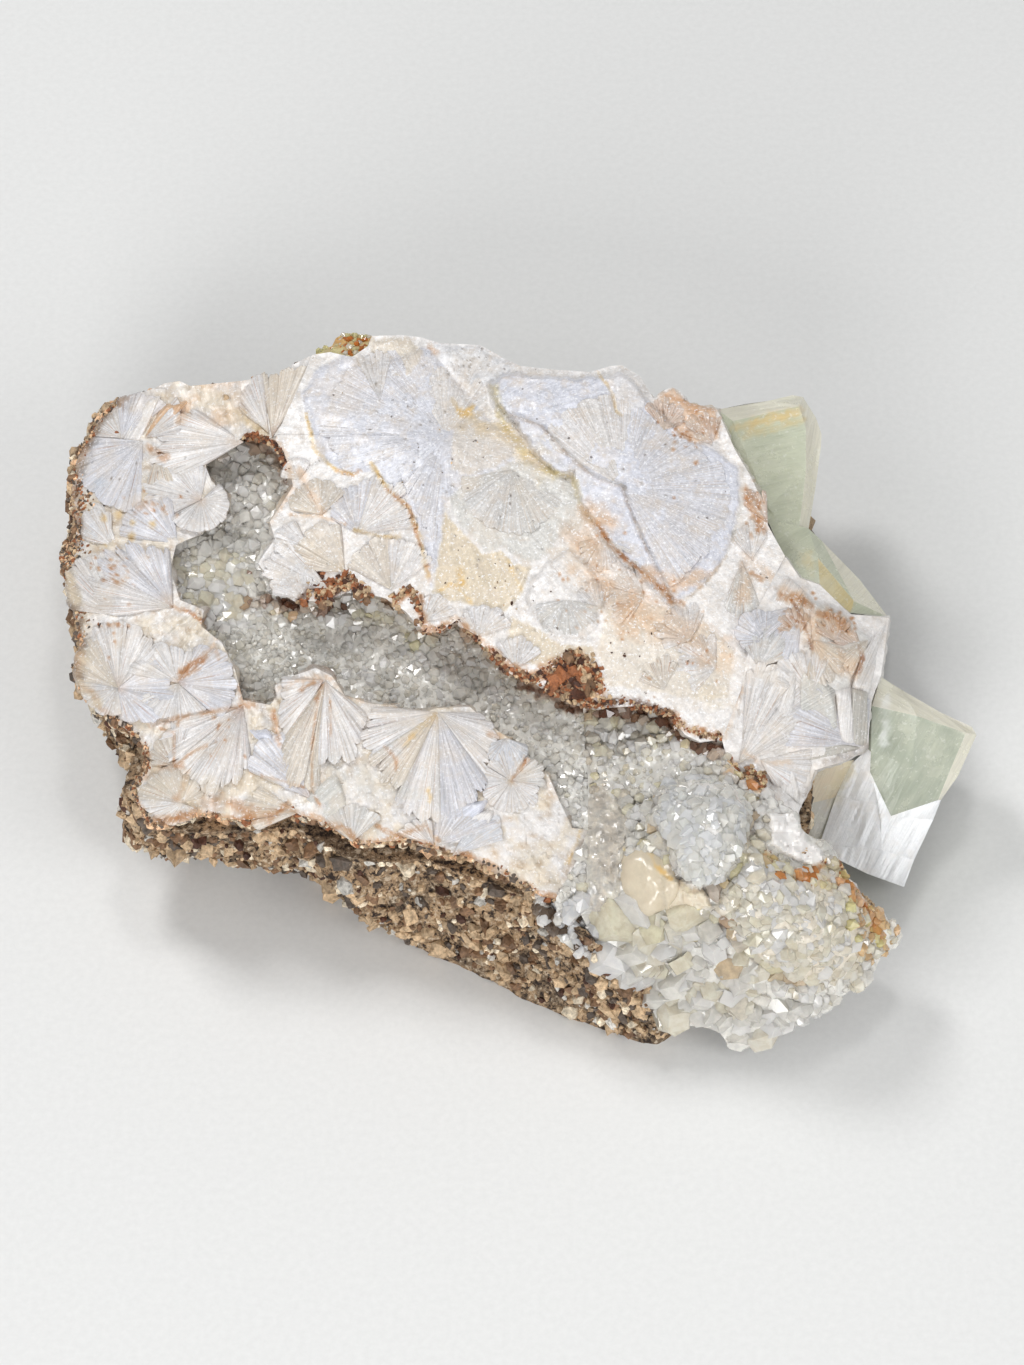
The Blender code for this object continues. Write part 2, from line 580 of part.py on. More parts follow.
def make_channel_crust():
    """Drusy quartz that lines the C-shaped channel."""
    outline = joined(LIP, LEDGE_ABOVE, turned(BANK))
    relief = Relief(outline, CHANNEL_HEIGHTS)
    relief.add_druse(DRUSE_SPACING, DRUSE_RISE, None, RELIEF_SEED + 2)
    return place("quartz_channel_crust", crust_mesh(relief, on_rock), QUARTZ)


def make_druse_mass():
    """Botryoidal drusy quartz that hangs over the rock's front, with its cream nodule."""
    outline = joined(LIP_RIGHT, turned(DRUSE_TOP), DRUSE_OUTER, turned(LEDGE_BELOW),
                     turned(LEDGE_ABOVE))
    relief = Relief(outline, DRUSE_HEIGHTS)
    (centre_x, centre_y), half_width, half_height, rise = NODULE
    for share, part in ((0.0, 1.0), (0.55, 0.8), (0.95, 0.2)):
        turns = np.linspace(0.0, 2.0 * math.pi, 11)
        ring = np.c_[centre_x + share * half_width * np.cos(turns),
                     centre_y + share * half_height * np.sin(turns)]
        relief.add_line(ring if share else ring[:1], [rise * part] * len(ring), clearance=2.5)
    relief.add_druse(DRUSE_SPACING + 2.0, DRUSE_RISE * 1.2, None, RELIEF_SEED + 3)
    body = crust_mesh(relief, on_seat, crease_of(DRUSE_SEAT))
    return place("quartz_druse_mass", body, QUARTZ)


def make_green_crystals():
    """Three pale green blocky crystals on the right."""
    top = joined(((717, 409), (740, 403), (770, 400), (792, 394), (802, 396), (820, 420), (822, 440),
                  (818, 490), (808, 533)),
                 ((808, 533), (790, 530), (768, 525)), turned(PLATE_RIGHT))
    relief = Relief(top, GREEN_TOP_HEIGHTS)
    relief.add_line(((728, 421), (748, 426), (772, 414), (790, 400)), (0.8 * MM,) * 4)
    relief.add_line(((805, 408), (806, 440), (803, 500), (797, 526)), (0.8 * MM,) * 4)
    body = crust_mesh(relief, beside_rock, crease_of(BLOCK_KEEL))
    things = [place("green_crystal_top", body, GREEN)]

    middle = joined(((768, 525), (790, 530), (808, 533), (822, 541), (860, 580), (889, 618)),
                    turned(BLOCK_TOP), turned(SHOULDER))
    relief = Relief(middle, GREEN_MIDDLE_HEIGHTS)
    relief.add_line(((800, 548), (830, 568), (862, 598)), (0.9 * MM,) * 3)
    body = crust_mesh(relief, beside_rock, crease_of(BLOCK_KEEL))
    things.append(place("green_crystal_middle", body, GREEN))

    right = joined(((881, 675), (900, 687), (940, 712), (973, 727), (977, 735), (960, 768),
                    (935, 812), (918, 850), (905, 888), (870, 875), (840, 862), (818, 842),
                    (828, 815), (836, 795), (850, 764), (868, 748)),
                   turned(BLOCK_RIGHT)[:-1])
    relief = Relief(right, GREEN_RIGHT_HEIGHTS)
    relief.add_line(((876, 694), (915, 704), (955, 720)), (0.8 * MM,) * 3)
    relief.add_line(((862, 762), (884, 806), (912, 800), (938, 797)), (1.0 * MM,) * 4)
    relief.add_line(((884, 822), (888, 850), (894, 876)), (0.5 * MM,) * 3)
    things.append(place("green_crystal_right", crust_mesh(relief, on_keel), GREEN))
    return things


def make_rear_knob():
    """The small brown quartz knob behind the upper plate."""
    outline = joined(((312, 355), (322, 350), (332, 346), (336, 338), (345, 333), (356, 334),
                      (372, 336)),
                     ((372, 336), (368, 346), (352, 357), (330, 352), (312, 355)))
    relief = Relief(outline, KNOB_HEIGHTS)
    relief.add_druse(11.0, 1.0 * MM, None, RELIEF_SEED + 4)
    return place("rear_quartz_knob", crust_mesh(relief, on_rock), BROWN_QUARTZ)


def round_ring(points, count):
    """A closed smooth ring through hand-placed points: a Catmull-Rom curve at even steps."""
    ring = np.array(points, float)
    steps = np.arange(count) * len(ring) / count
    index = np.floor(steps).astype(int)
    part = (steps - index)[:, None]
    before, start, end, after = (ring[(index + shift) % len(ring)] for shift in (-1, 0, 1, 2))
    return 0.5 * (2 * start + (end - before) * part
                  + (2 * before - 5 * start + 4 * end - after) * part ** 2
                  + (3 * start - before - 3 * end + after) * part ** 3)


def rock_bulge(x, y, z):
    """How far the rock's side stands out at a place: lumps with smaller lumps on them."""
    spot = Vector((x, y, z)) / ROCK_GRAIN
    return (noise.noise(spot) + 0.7 * noise.noise(spot * 2.3)) * ROCK_ROUGHNESS


def make_rock():
    """The basalt: a loft from its rim to its foot, lumpy, with a seat cut for the druse."""
    rim = round_ring(ROCK_RIM_MM, ROCK_STATIONS) * MM + AIM[:2]
    foot = round_ring(ROCK_FOOT_MM, ROCK_STATIONS) * MM + AIM[:2]
    outward = rim - rim.mean(axis=0)
    outward /= np.linalg.norm(outward, axis=1, keepdims=True)
    body = bmesh.new()
    rings = []
    for level, ledge in ROCK_LEVELS:
        fall = (1.0 - level) ** 2
        plan = rim + (foot - rim) * fall
        bulge = np.array([rock_bulge(x, y, level * ROCK_TOP) for x, y in plan])
        push = ledge * ROCK_LEDGE + bulge * math.sqrt(math.sin(math.pi * level))
        plan = plan + outward * push[:, None]
        rings.append([body.verts.new((x, y, level * ROCK_TOP)) for x, y in plan])
    for upper, lower in zip(rings, rings[1:]):
        for index in range(ROCK_STATIONS):
            after = (index + 1) % ROCK_STATIONS
            body.faces.new((upper[index], upper[after], lower[after], lower[index]))
    body.faces.new(rings[0])
    body.faces.new(rings[-1])
    bmesh.ops.recalc_face_normals(body, faces=body.faces)
    bmesh.ops.triangulate(body, faces=body.faces)
    rock = place("matrix_rock", body, BASALT)

    outline = joined(LIP_RIGHT, turned(DRUSE_TOP), DRUSE_OUTER, turned(LEDGE_BELOW),
                     turned(LEDGE_ABOVE))
    wider = shrunk(outline, -INSET_PIXELS)
    cutter = bmesh.new()
    at_x, at_y, at_z, slope_x, slope_y = DRUSE_SEAT
    low = seen_on(wider, (at_x, at_y, at_z - GAP * 1.3, slope_x, slope_y))
    high = seen(wider, 3.0 * ROCK_TOP)
    low_verts = [cutter.verts.new(point) for point in low]
    high_verts = [cutter.verts.new(point) for point in high]
    cutter.faces.new(low_verts)
    cutter.faces.new(high_verts)
    for index in range(len(wider)):
        after = (index + 1) % len(wider)
        cutter.faces.new((low_verts[index], low_verts[after], high_verts[after], high_verts[index]))
    bmesh.ops.recalc_face_normals(cutter, faces=cutter.faces)
    bmesh.ops.triangulate(cutter, faces=cutter.faces)
    tool = place("druse_cutter", cutter, BASALT)
    tool.hide_render = True
    tool.display_type = "WIRE"
    cut = rock.modifiers.new("druse_seat", "BOOLEAN")
    cut.operation = "DIFFERENCE"
    cut.object = tool
    return rock


def main():
    """Builds the specimen."""
    clear_scene()
    make_rock()
    make_left_sprays()
    make_upper_plate()
    make_right_block()
    make_channel_crust()
    make_druse_mass()
    make_green_crystals()
    make_rear_knob()


main()
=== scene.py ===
"""Heulandite with stilbite: pearly plates and radiating sprays on brown basalt, dressed.

The specimen was read in one view, so most of its surface is a function of two parameters:
a place in that view, in pixels, and a height above the floor, which together give one point in
space, where the sight line through the pixel meets that height. Crusts are grids over the view,
sprays are grids of angle and reach about a hub, and quartz points are small prisms set on a crust.
"""

from __future__ import annotations

import logging
import math
from dataclasses import dataclass, field
from enum import Enum
from string import ascii_letters
from typing import Callable, Optional, Sequence

import bpy
import numpy as np
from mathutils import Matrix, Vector


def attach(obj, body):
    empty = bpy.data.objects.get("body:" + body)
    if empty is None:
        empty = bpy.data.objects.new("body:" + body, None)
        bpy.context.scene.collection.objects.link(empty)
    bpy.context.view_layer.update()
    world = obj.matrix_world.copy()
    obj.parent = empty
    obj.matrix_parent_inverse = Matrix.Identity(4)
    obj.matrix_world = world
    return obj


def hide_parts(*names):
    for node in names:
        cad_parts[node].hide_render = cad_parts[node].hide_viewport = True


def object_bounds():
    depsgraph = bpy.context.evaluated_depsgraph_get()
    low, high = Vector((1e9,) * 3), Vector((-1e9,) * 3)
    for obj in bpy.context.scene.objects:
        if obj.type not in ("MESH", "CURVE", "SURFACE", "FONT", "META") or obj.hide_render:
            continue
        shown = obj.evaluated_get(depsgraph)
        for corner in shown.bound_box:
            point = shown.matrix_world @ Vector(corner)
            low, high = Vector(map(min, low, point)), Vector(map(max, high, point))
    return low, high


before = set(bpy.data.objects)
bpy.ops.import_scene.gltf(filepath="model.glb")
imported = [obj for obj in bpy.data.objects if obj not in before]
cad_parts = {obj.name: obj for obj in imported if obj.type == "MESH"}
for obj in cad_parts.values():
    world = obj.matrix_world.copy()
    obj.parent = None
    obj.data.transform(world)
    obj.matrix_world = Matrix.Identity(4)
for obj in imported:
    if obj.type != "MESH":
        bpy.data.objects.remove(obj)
CAD_BOX = [np.array(corner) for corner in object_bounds()]

MM = 0.001
LOG = logging.getLogger("specimen")

Array = np.ndarray
Pixels = Sequence[tuple[float, float]]
Field = Callable[[Array], Array]
Material = bpy.types.Material
Socket = bpy.types.NodeSocket


# The view


@dataclass(frozen=True)
class View:
    """The view that the specimen was read in, and the sight line through each of its pixels."""

    rise: float = math.radians(55.0)
    pixel: float = 0.1638 * MM
    focal: float = 4171.0
    width: float = 1024.0
    height: float = 1365.0
    aim: tuple[float, float, float] = (-0.63 * MM, 0.23 * MM, 20.0 * MM)

    def forward(self) -> Array:
        """The direction of the view."""
        return np.array((0.0, math.cos(self.rise), -math.sin(self.rise)))

    def upward(self) -> Array:
        """The direction that points up in the picture."""
        return np.array((0.0, math.sin(self.rise), math.cos(self.rise)))

    def eye(self) -> Array:
        """The viewpoint."""
        return np.array(self.aim) - self.forward() * self.pixel * self.focal

    def rays(self, pixels: Array) -> Array:
        """Sight lines: forward, plus right and up by the pixel's distance from the centre."""
        spots = np.asarray(pixels, float)
        across = (spots[:, :1] - self.width / 2.0) / self.focal
        along = (self.height / 2.0 - spots[:, 1:2]) / self.focal
        return self.forward() + across * np.array((1.0, 0.0, 0.0)) + along * self.upward()

    def seen(self, pixels: Array, heights: Array) -> Array:
        """Points where sight lines reach given heights.

        Args:
            pixels: Places in the view.
            heights: Heights above the floor.

        Returns:
            A point for each place.
        """
        rays = self.rays(pixels)
        eye = self.eye()
        reach = (np.asarray(heights, float) - eye[2]) / rays[:, 2]
        return eye + reach[:, None] * rays

    def seen_on(self, pixels: Array, plane: Sequence[float]) -> Array:
        """Points where sight lines meet a slanting plane.

        Args:
            pixels: Places in the view.
            plane: x, y and z of a point on it, then its rise along x and along y.

        Returns:
            A point for each place.
        """
        rays = self.rays(pixels)
        eye = self.eye()
        at_x, at_y, at_z, slope_x, slope_y = plane
        drop = at_z + slope_x * (eye[0] - at_x) + slope_y * (eye[1] - at_y) - eye[2]
        reach = drop / (rays[:, 2] - slope_x * rays[:, 0] - slope_y * rays[:, 1])
        return eye + reach[:, None] * rays


VIEW = View()


# Numbers: noise, facets, outlines and heights


def eased(share: Array) -> Array:
    """A smooth step from 0 to 1: three times the square of the share less twice its cube."""
    return share * share * (3.0 - 2.0 * share)


def blend(first: Array, second: Array, share: Array) -> Array:
    """One value faded into another by a share."""
    return first * (1.0 - share) + second * share


def beside(*parts: Array) -> Array:
    """Numbers side by side, as the columns of rows."""
    return np.stack(parts, axis=-1)


def scrambled(cells: Array, seed: int) -> Array:
    """A random value from 0 to 1 for each lattice cell: its integers are multiplied and mixed."""
    cells = np.asarray(cells, np.int64)
    mixed = cells[..., 0] * 374761393 + cells[..., 1] * 668265263 + seed * 1442695041
    if cells.shape[-1] > 2:
        mixed = mixed + cells[..., 2] * 2246822519
    mixed = (mixed ^ (mixed >> 13)) * 1274126177
    mixed = (mixed ^ (mixed >> 15)) * 2654435761
    mixed = mixed ^ (mixed >> 16)
    return (mixed & 0xFFFFFF) / float(0xFFFFFF)


def lattice_noise(spots: Array, seed: int) -> Array:
    """Smooth noise from -1 to 1: random values at whole numbers, blended by a smooth step."""
    spots = np.asarray(spots, float)
    cells = np.floor(spots).astype(np.int64)
    part = spots - cells
    part = eased(part)
    axes = spots.shape[-1]
    total = np.zeros(spots.shape[:-1])
    for corner in np.ndindex(*(2,) * axes):
        share = np.prod(np.where(np.array(corner) == 1, part, 1.0 - part), axis=-1)
        total += share * scrambled(cells + np.array(corner), seed)
    return total * 2.0 - 1.0


def rough(spots: Array, size: float, seed: int, octaves: int = 3) -> Array:
    """Noise with finer noise on it: each octave has 2.1 times the frequency and half the height."""
    total = np.zeros(len(spots))
    for octave in range(octaves):
        total += lattice_noise(spots / size * 2.1 ** octave, seed + octave) * 0.5 ** octave
    return total


def facets(spots: Array, spacing: float, seed: int) -> tuple[Array, Array]:
    """Splits the plane into irregular flat cells, each nearest to its own jittered centre.

    Args:
        spots: Places.
        spacing: Mean distance between centres.
        seed: Which pattern.

    Returns:
        Each place's offset from its cell's centre over the spacing, and four random values of
        that cell.
    """
    scaled = np.asarray(spots, float) / spacing
    home = np.floor(scaled).astype(np.int64)
    nearest = np.full(len(scaled), 1e9)
    offset = np.zeros_like(scaled)
    owner = home.copy()
    for step in np.ndindex(3, 3):
        cell = home + np.array(step) - 1
        centre = cell + beside(scrambled(cell, seed), scrambled(cell, seed + 1))
        away = scaled - centre
        distance = np.hypot(away[:, 0], away[:, 1])
        closer = distance < nearest
        nearest = np.where(closer, distance, nearest)
        offset = np.where(closer[:, None], away, offset)
        owner = np.where(closer[:, None], cell, owner)
    chance = np.stack([scrambled(owner, seed + 2 + index) for index in range(4)], axis=1)
    return offset, chance


def inside(spots: Array, outline: Pixels) -> Array:
    """Which places lie inside a closed outline, by counting the edges to their right."""
    ring = np.asarray(outline, float)
    after = np.roll(ring, -1, axis=0)
    result = np.zeros(len(spots), bool)
    for (x0, y0), (x1, y1) in zip(ring, after):
        if y0 == y1:
            continue
        spans = (y0 > spots[:, 1]) != (y1 > spots[:, 1])
        cross = x0 + (spots[:, 1] - y0) / (y1 - y0) * (x1 - x0)
        result ^= spans & (spots[:, 0] < cross)
    return result


def nearest_on(spots: Array, path: Pixels, closed: bool = False) -> tuple[Array, Array]:
    """The nearest point of a path to each place, and the distance to it.

    Args:
        spots: Places.
        path: Its corners.
        closed: Whether it returns to its first corner.

    Returns:
        The nearest points and their distances.
    """
    ring = np.asarray(path, float)
    ends = np.roll(ring, -1, axis=0) if closed else ring[1:]
    best = np.full(len(spots), 1e9)
    foot = np.array(spots, float)
    for start, end in zip(ring, ends):
        run = end - start
        along = np.clip((spots - start) @ run / max(run @ run, 1e-9), 0.0, 1.0)
        place = start + along[:, None] * run
        distance = np.hypot(*(spots - place).T)
        closer = distance < best
        best = np.where(closer, distance, best)
        foot = np.where(closer[:, None], place, foot)
    return foot, best


def joined(*edges: Pixels) -> list[tuple[float, float]]:
    """One closed outline from edges that follow each other end to end."""
    return [spot for edge in edges for spot in edge[:-1]]


def turned(edge: Pixels) -> Pixels:
    """The same edge in the other direction."""
    return tuple(reversed(edge))


class Heights:
    """Heights that pass through given ones: a sum of cones plus a plane, fitted to them."""

    def __init__(self, controls: Sequence[tuple[float, float, float]]) -> None:
        """Fits the cones.

        Args:
            controls: x and y in pixels, and the height there in millimetres.
        """
        table = np.array(controls, float)
        self.places = table[:, :2] / 100.0
        count = len(table)
        spread = np.linalg.norm(self.places[:, None] - self.places[None], axis=2)
        flat = np.c_[np.ones(count), self.places]
        system = np.block([[spread, flat], [flat.T, np.zeros((3, 3))]])
        self.weights = np.linalg.solve(system, np.r_[table[:, 2] * MM, np.zeros(3)])

    def __call__(self, spots: Array) -> Array:
        """Heights at places in the view, in metres."""
        spots = np.asarray(spots, float) / 100.0
        total = np.c_[np.ones(len(spots)), spots] @ self.weights[-3:]
        for place, weight in zip(self.places, self.weights):
            total += np.hypot(*(spots - place).T) * weight
        return total


# Colours, stains and marks


def linear(red: int, green: int, blue: int) -> Array:
    """A screen colour as linear light: the standard curve, close to a power of 2.4."""
    shade = np.array((red, green, blue)) / 255.0
    return np.where(shade < 0.04045, shade / 12.92, ((shade + 0.055) / 1.055) ** 2.4)


class Tone(Enum):
    """The specimen's colours, as they look in soft light."""

    WHITE = (238, 234, 231)
    LILAC = (220, 222, 233)
    BLUISH = (214, 219, 228)
    FROST = (214, 212, 206)
    CREAM = (224, 209, 184)
    YELLOW = (224, 184, 112)
    PEACH = (222, 182, 144)
    RUST = (172, 104, 46)
    # Dark rust is the colour of the iron crusts and spots, and is also laid as painted shadow under the lip
    # and in the cavities beside it.
    DARK_RUST = (74, 42, 26)
    SHADOW = (92, 80, 70)
    GREY = (200, 196, 188)
    GREEN = (196, 200, 178)
    SAGE = (176, 182, 165)
    GOLDEN = (210, 194, 148)
    PALE_EDGE = (224, 220, 204)
    PEARL = (250, 251, 252)
    IVORY = (255, 248, 234)
    TAN = (190, 163, 130)
    IRON = (148, 92, 56)
    BROWN = (128, 98, 72)
    WAX = (202, 190, 168)

    def light(self) -> Array:
        """The colour in linear light."""
        return linear(*self.value)


def read(text: str) -> list:
    """Words as values: a number, a tuple of numbers joined by commas, or a tone by its name."""
    values = []
    for word in text.split():
        numbers = [] if word[0].isalpha() else word.split(",")
        parts = tuple(float(part) if "." in part else int(part) for part in numbers)
        values.append(Tone[word.upper()] if not parts else parts if len(parts) > 1 else parts[0])
    return values


def trace(*texts: str) -> Pixels:
    """Corners of an outline or a path: their numbers are joined by commas."""
    return tuple(value for text in texts for value in read(text))


def forms(kind: Callable, *texts: str) -> tuple:
    """One form for each text: its values in the order of its fields, with its path after a colon."""
    split = [text.partition(":") for text in texts]
    return tuple(kind(*((trace(path),) if path else ()), *read(head)) for head, _, path in split)


@dataclass(frozen=True)
class StainAndShade:
    """Colour laid on a crust along a path, fading over its width with a ragged edge: most are stains that
    soak in, some are painted shade along folds, raised edges and lips.
    """

    path: Pixels
    width: float
    tone: Tone
    strength: float = 0.8
    ragged: float = 0.6

    def mask(self, spots: Array, seed: int) -> Array:
        """Its strength at places: one less distance over width, shifted by noise, then smoothed."""
        path = self.path if len(self.path) > 1 else self.path * 2
        low = np.min(np.array(path), axis=0) - 2.0 * self.width
        high = np.max(np.array(path), axis=0) + 2.0 * self.width
        near = np.all((spots > low) & (spots < high), axis=1)
        result = np.zeros(len(spots))
        if near.any():
            distance = nearest_on(spots[near], path)[1]
            shift = rough(spots[near], max(self.width * 0.5, 3.0), seed) * self.ragged
            share = np.clip(1.0 - distance / self.width + shift * 0.6, 0.0, 1.0)
            share *= np.clip(2.0 - distance / self.width * 1.2, 0.0, 1.0)
            patchy = np.clip(0.85 + 0.7 * rough(spots[near], 13.0, seed + 50, 2), 0.4, 1.0)
            result[near] = eased(share) * self.strength * patchy
        return result


def painted(spots: Array, base: Array, stains_and_shade: Sequence[StainAndShade]) -> Array:
    """Lays stains and painted shade over a base colour, one after another, each by its own mask.

    They are mixed at the power of 1 / 2.2, as the eye sees light, so weak ones keep their hue.
    """
    colour = np.array(base, float) ** (1.0 / 2.2)
    for index, stain in enumerate(stains_and_shade):
        share = stain.mask(spots, 31 + index)[:, None]
        colour = blend(colour, stain.tone.light() ** (1.0 / 2.2), share)
    return colour ** 2.2


# Surfaces and pieces


@dataclass
class Surface:
    """Points with faces, and a colour and a place in the pattern at each point."""

    points: Array
    faces: Array
    tint: Array
    pattern: Array

    @staticmethod
    def of(points: Array, faces: Array, tint: Array, pattern: Optional[Array] = None) -> "Surface":
        """A surface whose quads may repeat a corner to stand for triangles."""
        count = len(points)
        faces = np.asarray(faces, np.int64)
        if faces.shape[1] == 3:
            faces = np.c_[faces, faces[:, :1]]
        tint = np.broadcast_to(tint, (count, 3)).astype(float)
        pattern = np.zeros((count, 2)) if pattern is None else pattern
        return Surface(np.asarray(points, float), faces, tint, pattern)


def together(surfaces: Sequence[Surface]) -> Surface:
    """Several surfaces as one: their points in a row, with the faces counted on."""
    starts = np.cumsum([0] + [len(surface.points) for surface in surfaces])
    faces = np.vstack([surface.faces + start for surface, start in zip(surfaces, starts)])
    points, tint, pattern = (np.vstack([getattr(surface, part) for surface in surfaces]) for part
        in ("points", "tint", "pattern"))
    return Surface(points, faces, tint, pattern)


def grid_faces(rows: int, columns: int, closed: bool = False) -> Array:
    """Quads of a grid with its points in rows, joined round its columns when closed."""
    row = np.arange(rows - 1)[:, None]
    column = np.arange(columns if closed else columns - 1)[None]
    after = (column + 1) % columns
    corners = (row * columns + column, row * columns + after, (row + 1) * columns + after,
        (row + 1) * columns + column)
    return np.stack([corner.ravel() for corner in corners], axis=1)


def piece(name: str, surface: Surface, material: Material, node: str,
        smooth_below: float = 0.0) -> bpy.types.Object:
    """Makes a surface an object that stands for a node of the frame.

    Args:
        name: Its name.
        surface: Its points and faces.
        material: Its finish.
        node: The node that it replaces.
        smooth_below: The bend in degrees below which edges are smooth. At 0 all are flat.

    Returns:
        The object, in the scene.
    """
    quads = surface.faces
    is_triangle = quads[:, 3] == quads[:, 0]
    sizes = np.where(is_triangle, 3, 4)
    starts = np.r_[0, np.cumsum(sizes)[:-1]]
    loops = quads[np.c_[np.ones((len(quads), 3), bool), ~is_triangle]]
    mesh = bpy.data.meshes.new(name)
    mesh.vertices.add(len(surface.points))
    held = np.clip(surface.points, CAD_BOX[0] + 0.02 * MM, CAD_BOX[1] - 0.02 * MM)
    mesh.vertices.foreach_set("co", held.astype(np.float32).ravel())
    mesh.loops.add(len(loops))
    mesh.loops.foreach_set("vertex_index", loops.astype(np.int32))
    mesh.polygons.add(len(quads))
    mesh.polygons.foreach_set("loop_start", starts.astype(np.int32))
    mesh.update(calc_edges=True)
    layer = mesh.color_attributes.new(name="tint", type="FLOAT_COLOR", domain="POINT")
    shades = np.c_[np.clip(surface.tint, 0.0, 1.0), np.ones(len(surface.tint))]
    layer.data.foreach_set("color", shades.astype(np.float32).ravel())
    layout = mesh.uv_layers.new(name="pattern")
    layout.data.foreach_set("uv", surface.pattern[loops].astype(np.float32).ravel())
    mesh.polygons.foreach_set("use_smooth", np.full(len(quads), smooth_below > 0.0))
    if smooth_below > 0.0:
        mesh.set_sharp_from_angle(angle=math.radians(smooth_below))
    mesh.materials.append(material)
    thing = bpy.data.objects.new(name, mesh)
    bpy.context.scene.collection.objects.link(thing)
    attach(thing, "root")
    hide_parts(node)
    LOG.info("%s: %d triangles", name, int(np.sum(sizes - 2)))
    return thing


# Crusts: grids over the view, with walls down to the rock


@dataclass
class Crust:
    """A crust that fills an outline of the view: its front, its walls and its ragged sides."""

    outline: Pixels
    heights: Heights
    foot: Field
    stains_and_shade: Sequence[StainAndShade]
    tone: Tone = Tone.WHITE
    wall_tone: Tone = Tone.CREAM
    centre: tuple[float, float] = (445.0, 435.0)
    step: float = 1.8
    grain_size: float = 11.0
    grain: float = 0.28 * MM
    swell: float = 0.25 * MM
    wall_rows: int = 9
    wall_rough: float = 1.1 * MM
    seed: int = 3
    relief: Optional[Field] = None
    base_paint: Optional[Callable[[Array, Array], Array]] = None
    seam: int = 0

    def level(self, spots: Array) -> Array:
        """Heights of the crust before its grain: the fitted ones, and its own forms on them."""
        heights = self.heights(spots)
        if self.relief is not None:
            heights = heights + self.relief(spots)
        return heights

    def front(self, spots: Array) -> Array:
        """Heights with grain: flat tilted facets of two sizes, on a soft swell."""
        result = self.level(spots) + rough(spots, 30.0, self.seed + 9, 3) * self.swell
        for share, size, seed in ((1.0, self.grain_size, self.seed),
                (0.4, self.grain_size * 0.45, self.seed + 40)):
            offset, chance = facets(spots, size, seed)
            tilt = np.sum(offset * (chance[:, :2] - 0.5), axis=1) * 1.8
            result = result + (chance[:, 2] * 0.5 + tilt) * self.grain * share
        return result

    def cells(self) -> tuple[Array, Array, Array]:
        """The grid's places inside the outline, its quads, and its rim's edges.

        Returns:
            Places with those on the rim moved onto the outline, quads, and directed rim edges.
        """
        ring = np.array(self.outline, float)
        low = ring.min(axis=0) - 2.0 * self.step
        columns = int((ring[:, 0].max() - low[0]) / self.step) + 4
        rows = int((ring[:, 1].max() - low[1]) / self.step) + 4
        grid = beside(*np.meshgrid(np.arange(columns), np.arange(rows))).reshape(-1, 2)
        spots = low + grid * self.step
        foot, distance = nearest_on(spots, self.outline, closed=True)
        depth = np.where(inside(spots, self.outline), distance, -distance)
        full = (depth > -0.6 * self.step).reshape(rows, columns)
        kept = full[:-1, :-1] & full[:-1, 1:] & full[1:, :-1] & full[1:, 1:]
        touching = np.zeros((rows, columns), int)
        for shift_y, shift_x in np.ndindex(2, 2):
            touching[shift_y:rows - 1 + shift_y, shift_x:columns - 1 + shift_x] += kept
        on_rim = ((touching > 0) & (touching < 4)).ravel()
        spots = np.where(on_rim[:, None], foot, spots)
        row, column = np.nonzero(kept)
        corner = row * columns + column
        quads = beside(corner, corner + columns, corner + columns + 1, corner + 1)
        around = np.pad(kept, 1)
        edges = []
        for (shift_y, shift_x), (first, second) in (((0, -1), (0, 1)), ((1, 0), (1, 2)),
                ((0, 1), (2, 3)), ((-1, 0), (3, 0))):
            open_side = ~around[row + 1 + shift_y, column + 1 + shift_x]
            edges.append(quads[open_side][:, (first, second)])
        used, inverse = np.unique(quads, return_inverse=True)
        fresh = np.zeros(rows * columns, int)
        fresh[used] = np.arange(len(used))
        return spots[used], inverse.reshape(quads.shape), fresh[np.vstack(edges)]

    def walls(self, spots: Array, points: Array, edges: Array) -> tuple[Array, Array]:
        """Rows of points from the rim to the foot, pushed in and out by noise between them.

        Args:
            spots: Places of the grid.
            points: Their points in space.
            edges: Directed rim edges.

        Returns:
            The new points and the wall's quads, which count on from the grid's points.
        """
        rim, inverse = np.unique(edges, return_inverse=True)
        pairs = inverse.reshape(edges.shape)
        below = self.foot(spots[rim])
        rows = []
        for row in range(1, self.wall_rows + 1):
            share = row / self.wall_rows
            place = blend(points[rim], below, share)
            push = math.sqrt(math.sin(math.pi * min(share, 0.75)))
            shift = np.stack([rough(place / MM, 4.0, self.seed + 60 + axis, 4) for axis in range(3)],
                axis=1)
            shift[:, 2] *= 0.4
            rows.append(place + shift * self.wall_rough * push)
        count = len(points)
        upper = np.where(np.arange(self.wall_rows)[:, None, None] == 0, rim[pairs][None],
            count + (np.arange(self.wall_rows)[:, None, None] - 1) * len(rim) + pairs[None])
        lower = count + np.arange(self.wall_rows)[:, None, None] * len(rim) + pairs[None]
        quads = beside(upper[..., 1], upper[..., 0], lower[..., 0], lower[..., 1])
        return np.vstack(rows), quads.reshape(-1, 4)

